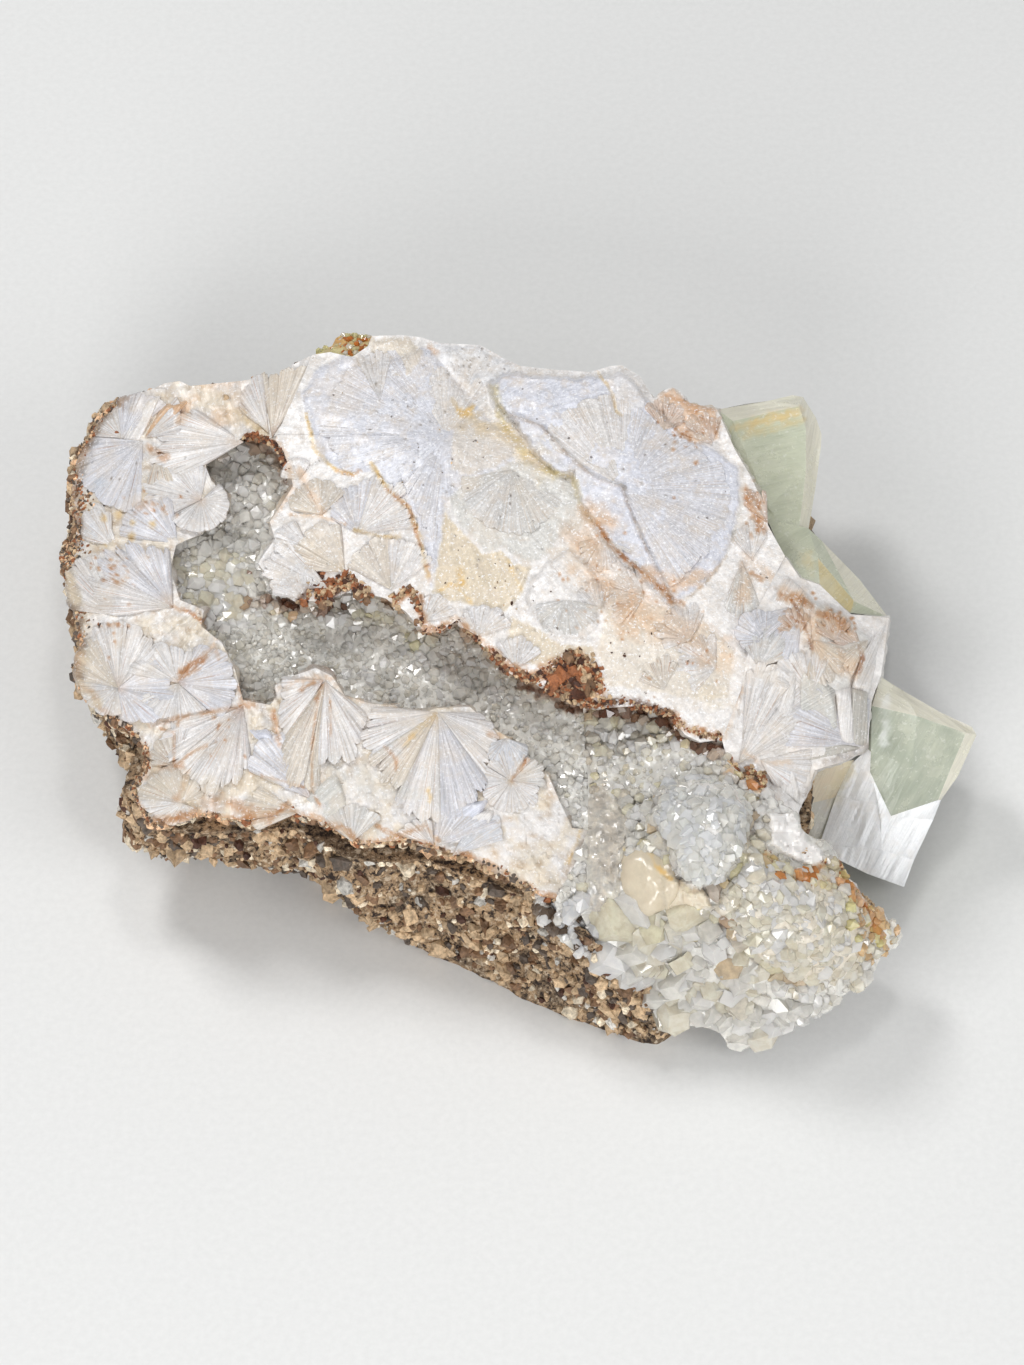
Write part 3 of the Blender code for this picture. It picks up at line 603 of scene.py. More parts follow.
    def surface(self) -> Surface:
        """The front, painted, with its walls under it."""
        spots, quads, edges = self.cells()
        points = VIEW.seen(spots, self.front(spots))
        self.seam = len(points)
        wall, wall_quads = self.walls(spots, points, edges)
        shade = 0.96 + 0.08 * facets(spots, self.grain_size, self.seed)[1][:, 3]
        base = self.tone.light() * shade[:, None]
        if self.base_paint is not None:
            base = self.base_paint(spots, base)
        tint = painted(spots, base, self.stains_and_shade)
        away = spots - np.array(self.centre)
        pattern = beside(np.arctan2(-away[:, 1], away[:, 0]) * 10.0, np.hypot(*away.T) / 60.0)
        rim = np.unique(edges)
        drop = np.repeat(np.linspace(1.0 / self.wall_rows, 1.0, self.wall_rows), len(rim))
        speckle = rough(wall / MM, 2.5, self.seed + 80, 4)
        share = np.clip(drop * 0.9 + speckle * 0.5, 0.0, 1.0)[:, None]
        wall_tint = blend(np.tile(tint[rim], (self.wall_rows, 1)), self.wall_tone.light(), share)
        wall_pattern = beside(wall[:, 0] / MM * 0.6, wall[:, 2] / MM * 0.3)
        return Surface.of(np.vstack([points, wall]), np.vstack([quads, wall_quads]),
            np.vstack([tint, wall_tint]), np.vstack([pattern, wall_pattern]))


# Sprays: grids of angle and reach about a hub


@dataclass(frozen=True)
class Spray:
    """Blades that radiate from a hub between two angles, in degrees anticlockwise from the right."""

    hub: tuple[float, float]
    first: float
    last: float
    reach: tuple[float, ...]
    blades: int
    lift: float = 1.1
    tone: Tone = Tone.WHITE
    rust: float = 0.1
    ragged: float = 0.05
    hub_tone: Tone = Tone.CREAM
    hub_lift: float = 0.15
    steps: float = 0.24
    fall: float = 0.5
    lap: float = 4.0
    fade: float = 8.0
    side_sink: float = 0.15
    rim_sink: float = 0.7

    def rim(self, turn: Array) -> Array:
        """The reach at a share of the turn: its given values, joined by straight lines."""
        shares = np.linspace(0.0, 1.0, len(self.reach))
        return np.interp(turn, shares, self.reach)

    def surface(self, level: Field, stains_and_shade: Sequence[StainAndShade], seed: int) -> Surface:
        """The blades: each has its own level, tilt and reach, with finer blades on it.

        A point at share r of the reach stands above the crust by the lift times r to the power
        0.8, less its fall toward the rim, plus its blade's own step and tilt times r. The last row
        drops below the crust.

        Args:
            level: Heights of the crust that the spray grows on.
            stains_and_shade: Stains that have soaked into it, and painted shade.
            seed: Which set of blades.

        Returns:
            The painted surface.
        """
        chance = np.random.default_rng(seed)
        fine = max(3, int(round(np.mean(self.reach) / 13.0)))
        total = self.blades * fine
        first, last = self.first - self.lap, self.last + self.lap
        sweep = abs(math.radians(last - first))
        columns = int(np.clip(sweep * np.mean(self.reach) / 1.5 / total, 2, 9)) + 1
        widths = chance.uniform(0.6, 1.4, self.blades)[:, None] * chance.uniform(0.6, 1.4,
            (self.blades, fine))
        ends = np.r_[0.0, np.cumsum(widths.ravel())]
        ends /= ends[-1]
        across = np.linspace(0.0, 1.0, columns)
        turn = blend(ends[:-1, None], ends[1:, None], across).ravel()
        main = np.repeat(np.arange(self.blades), fine * columns)
        part = np.repeat(np.arange(total), columns)
        within = np.tile(across, total)
        main_within = (turn - ends[main * fine]) / (ends[(main + 1) * fine] - ends[main * fine])

        main_step = chance.uniform(-0.5, 0.5, self.blades)[main] * self.steps
        part_step = chance.uniform(-0.5, 0.5, total)[part] * self.steps * 0.35
        main_tilt = chance.uniform(-1.0, 1.0, self.blades)[main] * self.steps * 0.7
        part_tilt = chance.uniform(-1.0, 1.0, total)[part] * self.steps * 0.25
        step = (main_step + part_step + main_tilt * (main_within - 0.5) + part_tilt * (within - 0.5)) * MM
        main_reach = 1.0 + chance.uniform(-1.0, 0.6, self.blades)[main] * self.ragged * 1.6
        part_reach = 1.0 + chance.uniform(-1.0, 0.3, total)[part] * self.ragged * 0.5
        round_off = 1.0 - self.ragged * 1.2 * np.abs(2.0 * main_within - 1.0) ** 3
        reach = self.rim(turn) * main_reach * part_reach * round_off

        rows = max(8, int(max(self.reach) / 3.0))
        shares = np.r_[0.01, np.linspace(0.06, 0.97, rows), 1.0, 1.004]
        angle = np.radians(first + (last - first) * turn)
        radius = shares[:, None] * reach[None]
        radius[-1] += 0.8
        spots = beside(self.hub[0] + radius * np.cos(angle), self.hub[1] - radius * np.sin(angle))
        lift = self.hub_lift + (self.lift - self.hub_lift) * shares ** 0.8
        lift = lift - self.lift * self.fall * shares ** 5
        heights = lift[:, None] * MM + step[None] * shares[:, None]
        side = np.clip(np.minimum(turn, 1.0 - turn) * abs(last - first) / self.fade, 0.0, 1.0)
        side = np.sqrt(side) * (1.5 - 0.5 * side)
        heights = heights * side[None] - self.side_sink * MM * (1.0 - side[None])
        heights[-1] = -self.rim_sink * MM
        rows, count = heights.shape
        flat = spots.reshape(-1, 2)
        points = VIEW.seen(flat, level(flat) + heights.ravel())
        faces = grid_faces(rows, count)

        shade = (0.95 + 0.06 * chance.uniform(-1.0, 1.0, total)[part]
            + 0.06 * chance.uniform(-1.0, 1.0, self.blades)[main])
        cool = chance.uniform(0.0, 0.45, self.blades)[main][None, :, None]
        base = self.tone.light() * 0.6 + Tone.WHITE.light() * 0.4
        base = base * (1.0 - cool * 0.5) + Tone.LILAC.light() * cool * 0.5
        base = np.broadcast_to(base, (rows, count, 3)) * shade[None, :, None]
        near = np.clip(1.0 - shares / 0.25, 0.0, 1.0)[:, None, None] * 0.45
        base = blend(base, self.hub_tone.light(), near)
        seam = (within == 0.0) & (chance.uniform(0.0, 1.0, total)[part] < self.rust)
        band = np.clip(1.0 - np.abs(shares - chance.uniform(0.35, 0.8)) / 0.35, 0.0, 1.0)
        stroke = (seam[None] * band[:, None])[..., None] * 0.75
        base = blend(base, Tone.RUST.light(), stroke)
        # Tan at the first column of each rib, by a random share: painted shade in the creases between ribs.
        warm = ((within == 0.0) * chance.uniform(0.0, 0.5, total)[part])[None, :, None]
        base = blend(base, Tone.TAN.light(), warm)
        tint = painted(flat, base.reshape(-1, 3), stains_and_shade)
        pattern = beside(np.broadcast_to(angle[None] * 10.0, (rows, count)),
            radius / 60.0 + seed * 3.7).reshape(-1, 2)
        return Surface.of(points, faces, tint, pattern)


# Small crystals, repeated thousands of times

SIX = np.arange(6)
NEXT_SIX = (SIX + 1) % 6
SIXTHS = SIX * math.pi / 3.0


def jittered(outline: Pixels, spacing: float, seed: int) -> Array:
    """Places inside an outline: a net with every other row shifted, each place moved at random."""
    chance = np.random.default_rng(seed)
    ring = np.array(outline, float)
    low, high = ring.min(axis=0), ring.max(axis=0)
    columns, rows = ((high - low) / (spacing, spacing * 0.866)).astype(int) + 1
    row, column = np.meshgrid(np.arange(rows), np.arange(columns), indexing="ij")
    spots = beside(low[0] + (column + 0.5 * (row % 2)) * spacing,
        low[1] + row * spacing * 0.866).reshape(-1, 2)
    spots = spots + chance.uniform(-0.45, 0.45, spots.shape) * spacing
    return spots[inside(spots, outline)]


def facing(spots: Array, level: Field, reach: float = 6.0) -> Array:
    """Unit normals of a crust: the cross product of its slopes over a few pixels."""
    right = spots + np.array((reach, 0.0))
    left = spots - np.array((reach, 0.0))
    above = spots - np.array((0.0, reach))
    below = spots + np.array((0.0, reach))
    across = VIEW.seen(right, level(right)) - VIEW.seen(left, level(left))
    along = VIEW.seen(above, level(above)) - VIEW.seen(below, level(below))
    normal = np.cross(across, along)
    return normal / np.linalg.norm(normal, axis=1, keepdims=True)


def frames(normals: Array, lean: float, chance: np.random.Generator) -> Array:
    """Turns for crystals: their length leans from the normal at random, and they spin about it."""
    axis = normals + chance.normal(0.0, lean, normals.shape)
    axis /= np.linalg.norm(axis, axis=1, keepdims=True)
    side = np.cross(axis, chance.normal(0.0, 1.0, normals.shape))
    side /= np.linalg.norm(side, axis=1, keepdims=True)
    return np.stack([side, np.cross(axis, side), axis], axis=1)


def scattered(shapes: Array, faces: Array, bases: Array, turns: Array, tones: Array,
        pattern: Optional[Array] = None) -> Surface:
    """Many small shapes as one surface: each one's points are turned, then moved to its base.

    Args:
        shapes: The points of each shape.
        faces: The quads of one shape.
        bases: Where each stands.
        turns: Its three axes.
        tones: Its colour.
        pattern: Its place in the pattern.

    Returns:
        All of them as one surface.
    """
    count, size = shapes.shape[:2]
    points = np.einsum("nki,nij->nkj", shapes, turns) + bases[:, None]
    faces = faces[None] + np.arange(count)[:, None, None] * size
    pattern = None if pattern is None else np.repeat(pattern, size, axis=0)
    return Surface.of(points.reshape(-1, 3), faces.reshape(-1, 4), np.repeat(tones, size, axis=0), pattern)


def quartz_points(bases: Array, normals: Array, sizes: Array, tones: Array, lean: float, seed: int,
        stretch: float = 1.0) -> Surface:
    """Six-sided quartz points: a prism of six sides under a pyramid of uneven faces.

    Args:
        bases: Where each stands.
        normals: Where each grows to, before it leans.
        sizes: Their radii in metres.
        tones: Their colours.
        lean: How far they lean at random.
        seed: Which set.
        stretch: Length over the usual length.

    Returns:
        All of them as one surface.
    """
    chance = np.random.default_rng(seed)
    count = len(bases)
    local = np.zeros((count, 13, 3))
    local[:, :12, :2] = np.tile(beside(np.cos(SIXTHS), np.sin(SIXTHS)), (2, 1))
    local[:, :12, :2] *= chance.uniform(0.75, 1.2, (count, 1, 2))
    local[:, :6, 2] = -0.9
    local[:, 6:12, 2] = chance.uniform(0.15, 0.65, (count, 6)) * stretch
    local[:, 12, :2] = chance.uniform(-0.28, 0.28, (count, 2))
    local[:, 12, 2] = chance.uniform(0.95, 1.35, count) * stretch
    sides = beside(SIX, NEXT_SIX, NEXT_SIX + 6, SIX + 6)
    tips = beside(SIX + 6, NEXT_SIX + 6, np.full(6, 12), SIX + 6)
    return scattered(local * sizes[:, None, None], np.vstack([sides, tips]), bases,
        frames(normals, lean, chance), tones, chance.uniform(0.0, 50.0, (count, 2)))


def lumps(bases: Array, sizes: Array, tones: Array, seed: int) -> Surface:
    """Crumbs: rounded blocks of three rings of six points whose radius varies at random."""
    chance = np.random.default_rng(seed)
    count = len(bases)
    rises = np.radians((-50.0, 0.0, 50.0))
    ball = np.array([(math.cos(turn) * math.cos(rise), math.sin(turn) * math.cos(rise), math.sin(rise))
        for rise in rises for turn in SIXTHS] + [(0.0, 0.0, -1.0), (0.0, 0.0, 1.0)])
    spread = chance.uniform(0.6, 1.25, (count, 20, 1)) * chance.uniform(0.6, 1.4, (count, 1, 3))
    up = np.tile(np.array((0.0, 0.0, 1.0)), (count, 1))
    under = beside(NEXT_SIX, SIX, np.full(6, 18), NEXT_SIX)
    over = beside(SIX + 12, NEXT_SIX + 12, np.full(6, 19), SIX + 12)
    return scattered(ball[None] * spread * sizes[:, None, None],
        np.vstack([grid_faces(3, 6, closed=True), under, over]), bases, frames(up, 1.0, chance), tones)


def picked(tones: Sequence[Tone], shares: Sequence[float], count: int, chance: np.random.Generator,
        spread: float = 0.06) -> Array:
    """Colours for many crystals: named ones in given shares, each a little lighter or darker."""
    table = np.array([tone.light() for tone in tones])
    choice = chance.choice(len(tones), count, p=np.array(shares) / sum(shares))
    return table[choice] * (1.0 + chance.uniform(-spread, spread, (count, 1)))


@dataclass(frozen=True)
class Band:
    """Crumbs along a path: its width in pixels, how many crumbs, and their size in mm."""

    path: Pixels
    width: float
    count: int
    size: float


def crumb_bands(level: Field, bands: Sequence[Band], tones: Sequence[Tone], seed: int,
        within: Optional[Pixels] = None) -> Surface:
    """Crumbs scattered in bands along paths, sunk into a crust by a share of their size.

    Args:
        level: Heights of the crust.
        bands: Where they lie.
        tones: Their colours, in even shares.
        seed: Which crumbs.
        within: An outline to keep inside.

    Returns:
        All of them as one surface.
    """
    chance = np.random.default_rng(seed)
    spots, sizes = [], []
    for band in bands:
        table = np.array(band.path, float)
        along = chance.uniform(0.0, len(table) - 1.0, band.count)
        steps = np.arange(len(table))
        place = beside(*(np.interp(along, steps, table[:, axis]) for axis in range(2)))
        spots.append(place + chance.normal(0.0, 0.5, place.shape) * band.width)
        sizes.append(chance.uniform(0.4, 1.0, band.count) * band.size * MM)
    place, size = np.vstack(spots), np.concatenate(sizes)
    if within is not None:
        kept = inside(place, within)
        place, size = place[kept], size[kept]
    colours = picked(tones, (1.0,) * len(tones), len(place), chance, 0.2)
    return lumps(VIEW.seen(place, level(place) - size * 0.3), size, colours, seed + 1)


# Cleavage faces: flat patches between four corners


@dataclass(frozen=True)
class Facet:
    """A flat crystal face between four corners, each x and y in pixels and a height in mm."""

    corners: tuple[tuple[float, float, float], ...]
    tone: Tone
    grain: float = 90.0
    ripple: float = 0.1
    density: int = 26

    def surface(self, stains_and_shade: Sequence[StainAndShade], seed: int, level: Optional[Field] = None) -> Surface:
        """The face as a grid: a blend of its corners by two parameters, rippled off its edges.

        Args:
            stains_and_shade: Stains that have soaked into it, and painted shade.
            seed: Which ripples.
            level: Heights of a crust that the face's edges sink into, where there is one.

        Returns:
            The painted surface.
        """
        table = np.array(self.corners, float)
        if len(table) == 3:
            table = np.vstack([table, table[2:]])
        share = np.linspace(0.0, 1.0, self.density)
        across, along = np.meshgrid(share, share)
        across, along = across.ravel()[:, None], along.ravel()[:, None]
        place = blend(blend(table[0], table[1], across), blend(table[3], table[2], across), along)
        spots = place[:, :2]
        turn = math.radians(self.grain)
        line = spots[:, 0] * math.cos(turn) - spots[:, 1] * math.sin(turn)
        cross = spots[:, 0] * math.sin(turn) + spots[:, 1] * math.cos(turn)
        inner = (16.0 * across * (1.0 - across) * along * (1.0 - along))[:, 0]
        wave = rough(beside(line * 0.12, cross), 7.0, seed, 3)
        heights = place[:, 2] * MM + wave * np.sqrt(inner) * self.ripple * MM
        if level is not None:
            sunk = (1.0 - np.clip(inner * 2.2, 0.0, 1.0)) ** 2
            heights = blend(heights, level(spots) - 0.15 * MM, sunk)
        shade = 1.0 + 0.05 * rough(beside(line * 0.2, cross), 12.0, seed + 5, 3)
        tint = painted(spots, self.tone.light() * shade[:, None], stains_and_shade)
        faces = grid_faces(self.density, self.density)
        first, second = table[1, :2] - table[0, :2], table[3, :2] - table[0, :2]
        if first[0] * second[1] - first[1] * second[0] > 0.0:
            faces = faces[:, ::-1]
        pattern = beside(cross * 0.25, line * 0.012 + seed)
        return Surface.of(VIEW.seen(spots, heights), faces, tint, pattern)


def faces_on(level: Field, faces: Sequence[Facet], stains_and_shade: Sequence[StainAndShade], seed: int) -> Surface:
    """Flat faces laid over a crust: each corner is x, y and its rise above the crust in mm."""
    parts = []
    for index, face in enumerate(faces):
        ground = level(np.array(face.corners)[:, :2]) / MM
        lifted = tuple((x, y, rise + at) for (x, y, rise), at in zip(face.corners, ground))
        laid = Facet(lifted, face.tone, face.grain, 0.15)
        parts.append(laid.surface(stains_and_shade, seed + index, level))
    return together(parts)


def skirt(rim: Sequence[tuple[float, float, float]], foot: Field, tone: Tone, stains_and_shade: Sequence[StainAndShade],
        seed: int, rows: int = 14, columns: int = 10) -> Surface:
    """The sides of a faceted crystal: a grid from each stretch of its rim down to its foot."""
    table = np.array(rim, float)
    after = np.roll(table, -1, axis=0)
    share = np.arange(columns) / columns
    ring = blend(table[:, None], after[:, None], share[None, :, None]).reshape(-1, 3)
    spots = ring[:, :2]
    top = VIEW.seen(spots, ring[:, 2] * MM)
    below = foot(spots)
    down = np.linspace(0.0, 1.0, rows)[:, None, None]
    points = blend(top[None], below[None], down)
    count = len(ring)
    faces = grid_faces(rows, count, closed=True)
    turning = np.sum(table[:, 0] * after[:, 1] - after[:, 0] * table[:, 1])
    if turning > 0.0:
        faces = faces[:, ::-1]
    flat = points.reshape(-1, 3)
    shade = 1.0 + 0.06 * rough(flat / MM * (1.0, 1.0, 0.3), 3.0, seed, 3)
    tint = painted(np.tile(spots, (rows, 1)), tone.light() * shade[:, None], stains_and_shade)
    pattern = beside(np.tile(np.arange(count) * 0.4, rows), flat[:, 2] / MM * 0.05)
    return Surface.of(flat, faces, tint, pattern)


# Shared edges of the crusts, in pixels of the view

LIP = trace(
    "275,440 284,452 290,472 293,486 283,502 270,522 275,539 258,563 272,583 293,601 325,601 353,590",
    "385,598 405,611 425,633 440,632 457,620 470,635 490,652 510,674 540,684 560,692 583,706",
)
LIP_RIGHT = trace("583,706 600,708 640,706 668,712 685,735 700,742 722,740")
BANK = trace(
    "275,440 258,436 242,438 225,447 205,465 211,480 227,498 222,519 200,534 176,545 170,570 180,600",
    "204,610 201,626 222,643 235,670 243,700 270,705 277,696 274,686 295,675 316,668 332,676 345,696",
    "372,704 395,705 408,718 438,708 470,707 490,725 508,738 530,760 548,775 560,802 572,828 588,830",
)
LEDGE_ABOVE = trace("583,706 584,735 588,780 588,830")
LEDGE_BELOW = trace("588,830 576,862 556,898")
SEAM = trace("312,355 300,384 286,414 275,440")
FRONT_RIM = trace(
    "556,898 540,896 525,885 500,870 480,860 440,850 420,843 400,840 360,844 345,830 320,820 300,815",
    "286,806 270,818 240,820 200,815 165,822 150,822",
)
LEFT_END = trace(
    "150,822 138,805 131,790 145,772 148,758 143,745 127,728 110,715 98,706 92,692 80,688 77,675 80,655",
    "78,620 72,598 62,566 61,551 73,542 78,527 72,505 72,485 80,456 88,440 97,423 110,407 127,397",
)
LEFT_REAR = trace(
    "127,397 155,388 165,383 180,381 190,386 210,384 240,381 260,378 280,375 292,365 312,355",
)
PLATE_REAR = trace(
    "312,355 330,352 352,357 368,346 372,336 400,335 420,337 440,343 480,345 500,356 520,366 560,370",
    "590,372 610,366 622,365 640,376 654,399 665,390 672,387 680,391 690,403 717,409",
)
PLATE_RIGHT = trace("717,409 735,450 750,475 762,500 768,525")
SHOULDER = trace("768,525 776,540 785,556")
BLOCK_RIDGE = trace("785,556 762,600 745,630 748,652 741,690 722,740")
BLOCK_TOP = trace("785,556 800,578 820,585 850,614 889,618")
BLOCK_RIGHT = trace("889,618 881,675 871,702 868,748")
BLOCK_UNDER = trace("868,748 842,762 815,770 806,795 798,814")
DRUSE_TOP = trace("798,814 774,800 750,782 728,762 722,740")
DRUSE_OUTER = trace(
    "798,814 802,830 818,842 838,862 845,880 865,900 888,920 899,930 892,945 875,960 862,982 840,998",
    "828,1011 800,1020 775,1030 745,1049 728,1043 715,1027 690,1026 664,1028 655,1014 650,990 640,978",
    "625,979 610,960 592,936 580,913 557,924 556,898",
)

# Raised rim of the pearly disc
DISC = trace(
    "488,384 492,400 516,424 530,450 545,465 557,474 572,472 578,500 592,522 615,555 640,576 665,602",
    "680,602 705,585 720,569 733,540 740,500 738,466 712,447 690,438 668,418 650,400 636,382 621,371",
    "600,376 560,376 520,372 500,374",
)
NODULE_CENTRE = (650, 885)
NODULE_BARE = (27.0 * 0.9, 38.0 * 0.9)

# Heights in millimetres at places in the view, for each crust

LEFT_HEIGHTS = trace(
    "80,456,27 125,398,32 180,383,35 240,383,37 300,365,39 285,415,39 272,440,38 245,438,37 205,465,34",
    "222,510,33 175,545,32 172,580,31.5 200,615,31 225,650,30.5 243,700,30 290,680,32 330,675,33.5",
    "400,708,33.5 438,708,34 480,710,33.5 530,760,31.5 572,830,29 588,830,28 556,898,25.5 525,885,26.5",
    "480,860,27.5 400,840,28 345,830,28 285,806,28.5 200,815,27 150,822,25.5 131,790,25 143,745,26.5",
    "92,692,25.5 78,640,26.5 62,565,26 72,485,26 120,600,30 150,500,33 120,688,29.5 180,690,30",
    "180,780,29.5 330,740,32 438,770,32.5",
)
PLATE_HEIGHTS = trace(
    "312,360,40 345,352,41 400,345,42.5 480,352,44 560,375,45.5 640,392,46 700,410,45.5 750,478,43.5",
    "768,528,42.5 786,556,41.5 745,630,41.5 738,690,39 720,738,36.5 685,732,37 640,704,38.5 600,705,38.5",
    "560,690,38 500,662,37.5 455,622,37.5 425,631,36.5 380,596,37 330,599,36 293,599,36 260,563,36.5",
    "272,522,37.5 290,478,38 276,442,39 400,450,42.5 350,520,40.5 450,540,41.5 550,600,41 640,640,41.5",
    "690,660,41",
)
CHANNEL_HEIGHTS = trace(
    "260,446,31 215,470,30 270,480,31 250,520,29 200,550,28.5 265,555,29.5 200,590,27 240,610,27",
    "290,605,28 230,650,26.5 280,650,26.5 330,640,27 360,600,29 420,640,28.5 300,665,28 400,690,27.5",
    "400,650,26.5 470,690,27 500,668,29 540,700,28.5 540,740,28 583,710,30 585,780,28.5 575,820,28",
    "530,755,29.5",
)
DRUSE_HEIGHTS = trace(
    "590,712,30 640,712,31 680,737,33 720,745,34 750,785,34 800,817,31 838,862,25 865,900,20 898,930,15",
    "875,960,13 840,998,9 800,1020,6.5 745,1046,4.5 700,1027,6.5 660,1026,6.5 650,990,11 625,978,14",
    "592,933,20 557,922,24 575,862,27.5 588,830,28.5 587,760,29 610,850,28.5 610,930,20 650,760,31",
    "700,790,34.5 700,830,35 740,860,33 650,850,30 690,900,28 720,930,23 780,900,28 820,940,21 760,980,16",
    "700,980,15.5 650,930,22 745,1020,8.5 640,1000,10",
)
BLOCK_HEIGHTS = trace(
    "785,558,41.5 820,586,39.5 850,615,38.5 887,619,36 760,600,42 746,632,42 748,650,41.5 741,690,39",
    "724,738,36.5 728,762,34 750,782,33 798,812,29 815,770,31 845,762,30.5 868,748,30 872,702,32.5",
    "880,675,33.5 820,640,41 858,650,38 760,757,36 812,745,35.5",
)
KNOB_HEIGHTS = trace("318,351,38 345,334,39 370,340,40 350,352,40.5")


# Planes and feet under the crusts


@dataclass(frozen=True)
class Bed:
    """Where the crusts meet the rock: its rim plane, and slanting planes past its edge."""

    top: float = 22.35 * MM
    rear_limit: float = 56.0 * MM
    rear_squeeze: float = 0.15
    seat: tuple[float, ...] = (0.0, -32.0 * MM, 20.0 * MM, 0.0, 0.66)
    block_keel: tuple[float, ...] = (49.2 * MM, 0.0, 22.35 * MM, -1.1, 0.0)
    green_keel: tuple[float, ...] = (0.0, -32.0 * MM, 1.2 * MM, 0.0, 0.42)

    def squeezed(self, points: Array) -> Array:
        """Keeps feet near the rock's rear rim: what is past the limit shrinks to a small share."""
        over = np.maximum(points[:, 1] - self.rear_limit, 0.0)
        points[:, 1] -= over * (1.0 - self.rear_squeeze)
        return points

    def lower(self, pixels: Array, plane: Sequence[float]) -> Array:
        """The lower of the rim plane and a slanting one, along each sight line."""
        flat = VIEW.seen(pixels, np.full(len(pixels), self.top))
        slanting = VIEW.seen_on(pixels, plane)
        return np.where((slanting[:, 2] < flat[:, 2])[:, None], slanting, flat)

    def on_rock(self, pixels: Array) -> Array:
        """The flat foot of a crust on the rock's rim plane."""
        return self.squeezed(VIEW.seen(pixels, np.full(len(pixels), self.top)))

    def on_seat(self, pixels: Array) -> Array:
        """The druse's foot, on the rock and on its slanting seat."""
        return self.lower(pixels, self.seat)

    def beside_rock(self, pixels: Array) -> Array:
        """The foot of the crystals that hang past the rock's right end."""
        return self.squeezed(self.lower(pixels, self.block_keel))

    def on_keel(self, pixels: Array) -> Array:
        """The hidden side of the right green crystal."""
        return VIEW.seen_on(pixels, self.green_keel)


BED = Bed()


# Finishes


class Weave:
    """Builds a material's nodes: makes a node, sets its values and joins it to others."""

    def __init__(self, name: str) -> None:
        """Starts a material with its Principled shader and the colour stored at the points."""
        self.material = bpy.data.materials.new(name)
        self.material.use_nodes = True
        self.tree = self.material.node_tree
        self.shader = self.tree.nodes["Principled BSDF"]
        self.tint = self.node("Attribute", attribute_name="tint").outputs["Color"]

    def node(self, kind: str, inputs: Optional[dict] = None, **settings: object) -> bpy.types.Node:
        """Makes a node.

        Args:
            kind: Its type, without the ShaderNode before it.
            inputs: Values or sockets for its inputs, by name or number.
            settings: Its own settings.

        Returns:
            The node.
        """
        made = self.tree.nodes.new("ShaderNode" + kind)
        for title, value in settings.items():
            setattr(made, title, value)
        for title, value in (inputs or {}).items():
            self.put(made.inputs[title], value)
        return made

    def put(self, socket: Socket, value: object) -> None:
        """Joins another node's output to a socket, or sets a plain value on it."""
        if isinstance(value, Socket):
            self.tree.links.new(value, socket)
        else:
            socket.default_value = value

    def set(self, **values: object) -> None:
        """Sets the shader's sockets, named with spaces as underscores."""
        for title, value in values.items():
            self.put(self.shader.inputs[title.replace("_", " ")], value)

    def done(self, **values: object) -> Material:
        """Sets the shader's sockets and its colour, and hands out the material."""
        self.set(Base_Color=self.tint, **values)
        return self.material

    def place(self) -> Socket:
        """Object coordinates."""
        return self.node("TexCoord").outputs["Object"]

    def layout(self, scale: tuple[float, float, float]) -> Socket:
        """The piece's own pattern layout, scaled."""
        pattern = self.node("UVMap", uv_map="pattern").outputs["UV"]
        return self.node("Mapping", {"Vector": pattern, "Scale": scale}).outputs["Vector"]

    def noise(self, vector: Socket, scale: float, detail: float = 3.0, roughness: float = 0.6) -> Socket:
        """A noise texture's value."""
        return self.node("TexNoise", {"Vector": vector, "Scale": scale, "Detail": detail,
                                      "Roughness": roughness}).outputs["Fac"]

    def spread(self, value: Socket, low: float, high: float, to_low: float = 0.0,
            to_high: float = 1.0) -> Socket:
        """Maps one range of values onto another, clamped."""
        return self.node("MapRange", {"Value": value, "From Min": low, "From Max": high,
                                      "To Min": to_low, "To Max": to_high}).outputs["Result"]

    def mixed(self, share: object, first: object, second: object, blend: str = "MIX") -> Socket:
        """Mixes two colours."""
        made = self.tree.nodes.new("ShaderNodeMix")
        made.data_type = "RGBA"
        made.blend_type = blend
        for index, value in ((0, share), (6, first), (7, second)):
            self.put(made.inputs[index], value)
        return made.outputs[2]

    def bump(self, height: Socket, strength: float, distance: float) -> None:
        """A bump, in metres, on top of what the shader's normal has."""
        inputs = {"Height": height, "Strength": strength, "Distance": distance}
        under = self.shader.inputs["Normal"].links
        if under:
            inputs["Normal"] = under[0].from_socket
        self.set(Normal=self.node("Bump", inputs).outputs["Normal"])

    def shade(self, value: Socket, *span: float) -> None:
        """Multiplies the colour by a value spread over a range."""
        self.tint = self.mixed(1.0, self.tint, self.spread(value, *span), "MULTIPLY")

    def veil(self, value: Socket, low: float, high: float, most: float,
            colour: tuple[int, int, int]) -> None:
        """Lays a screen colour over the colour where a value goes from low to high."""
        share = self.spread(value, low, high, 0.0, most)
        self.tint = self.mixed(share, self.tint, (*linear(*colour), 1.0))


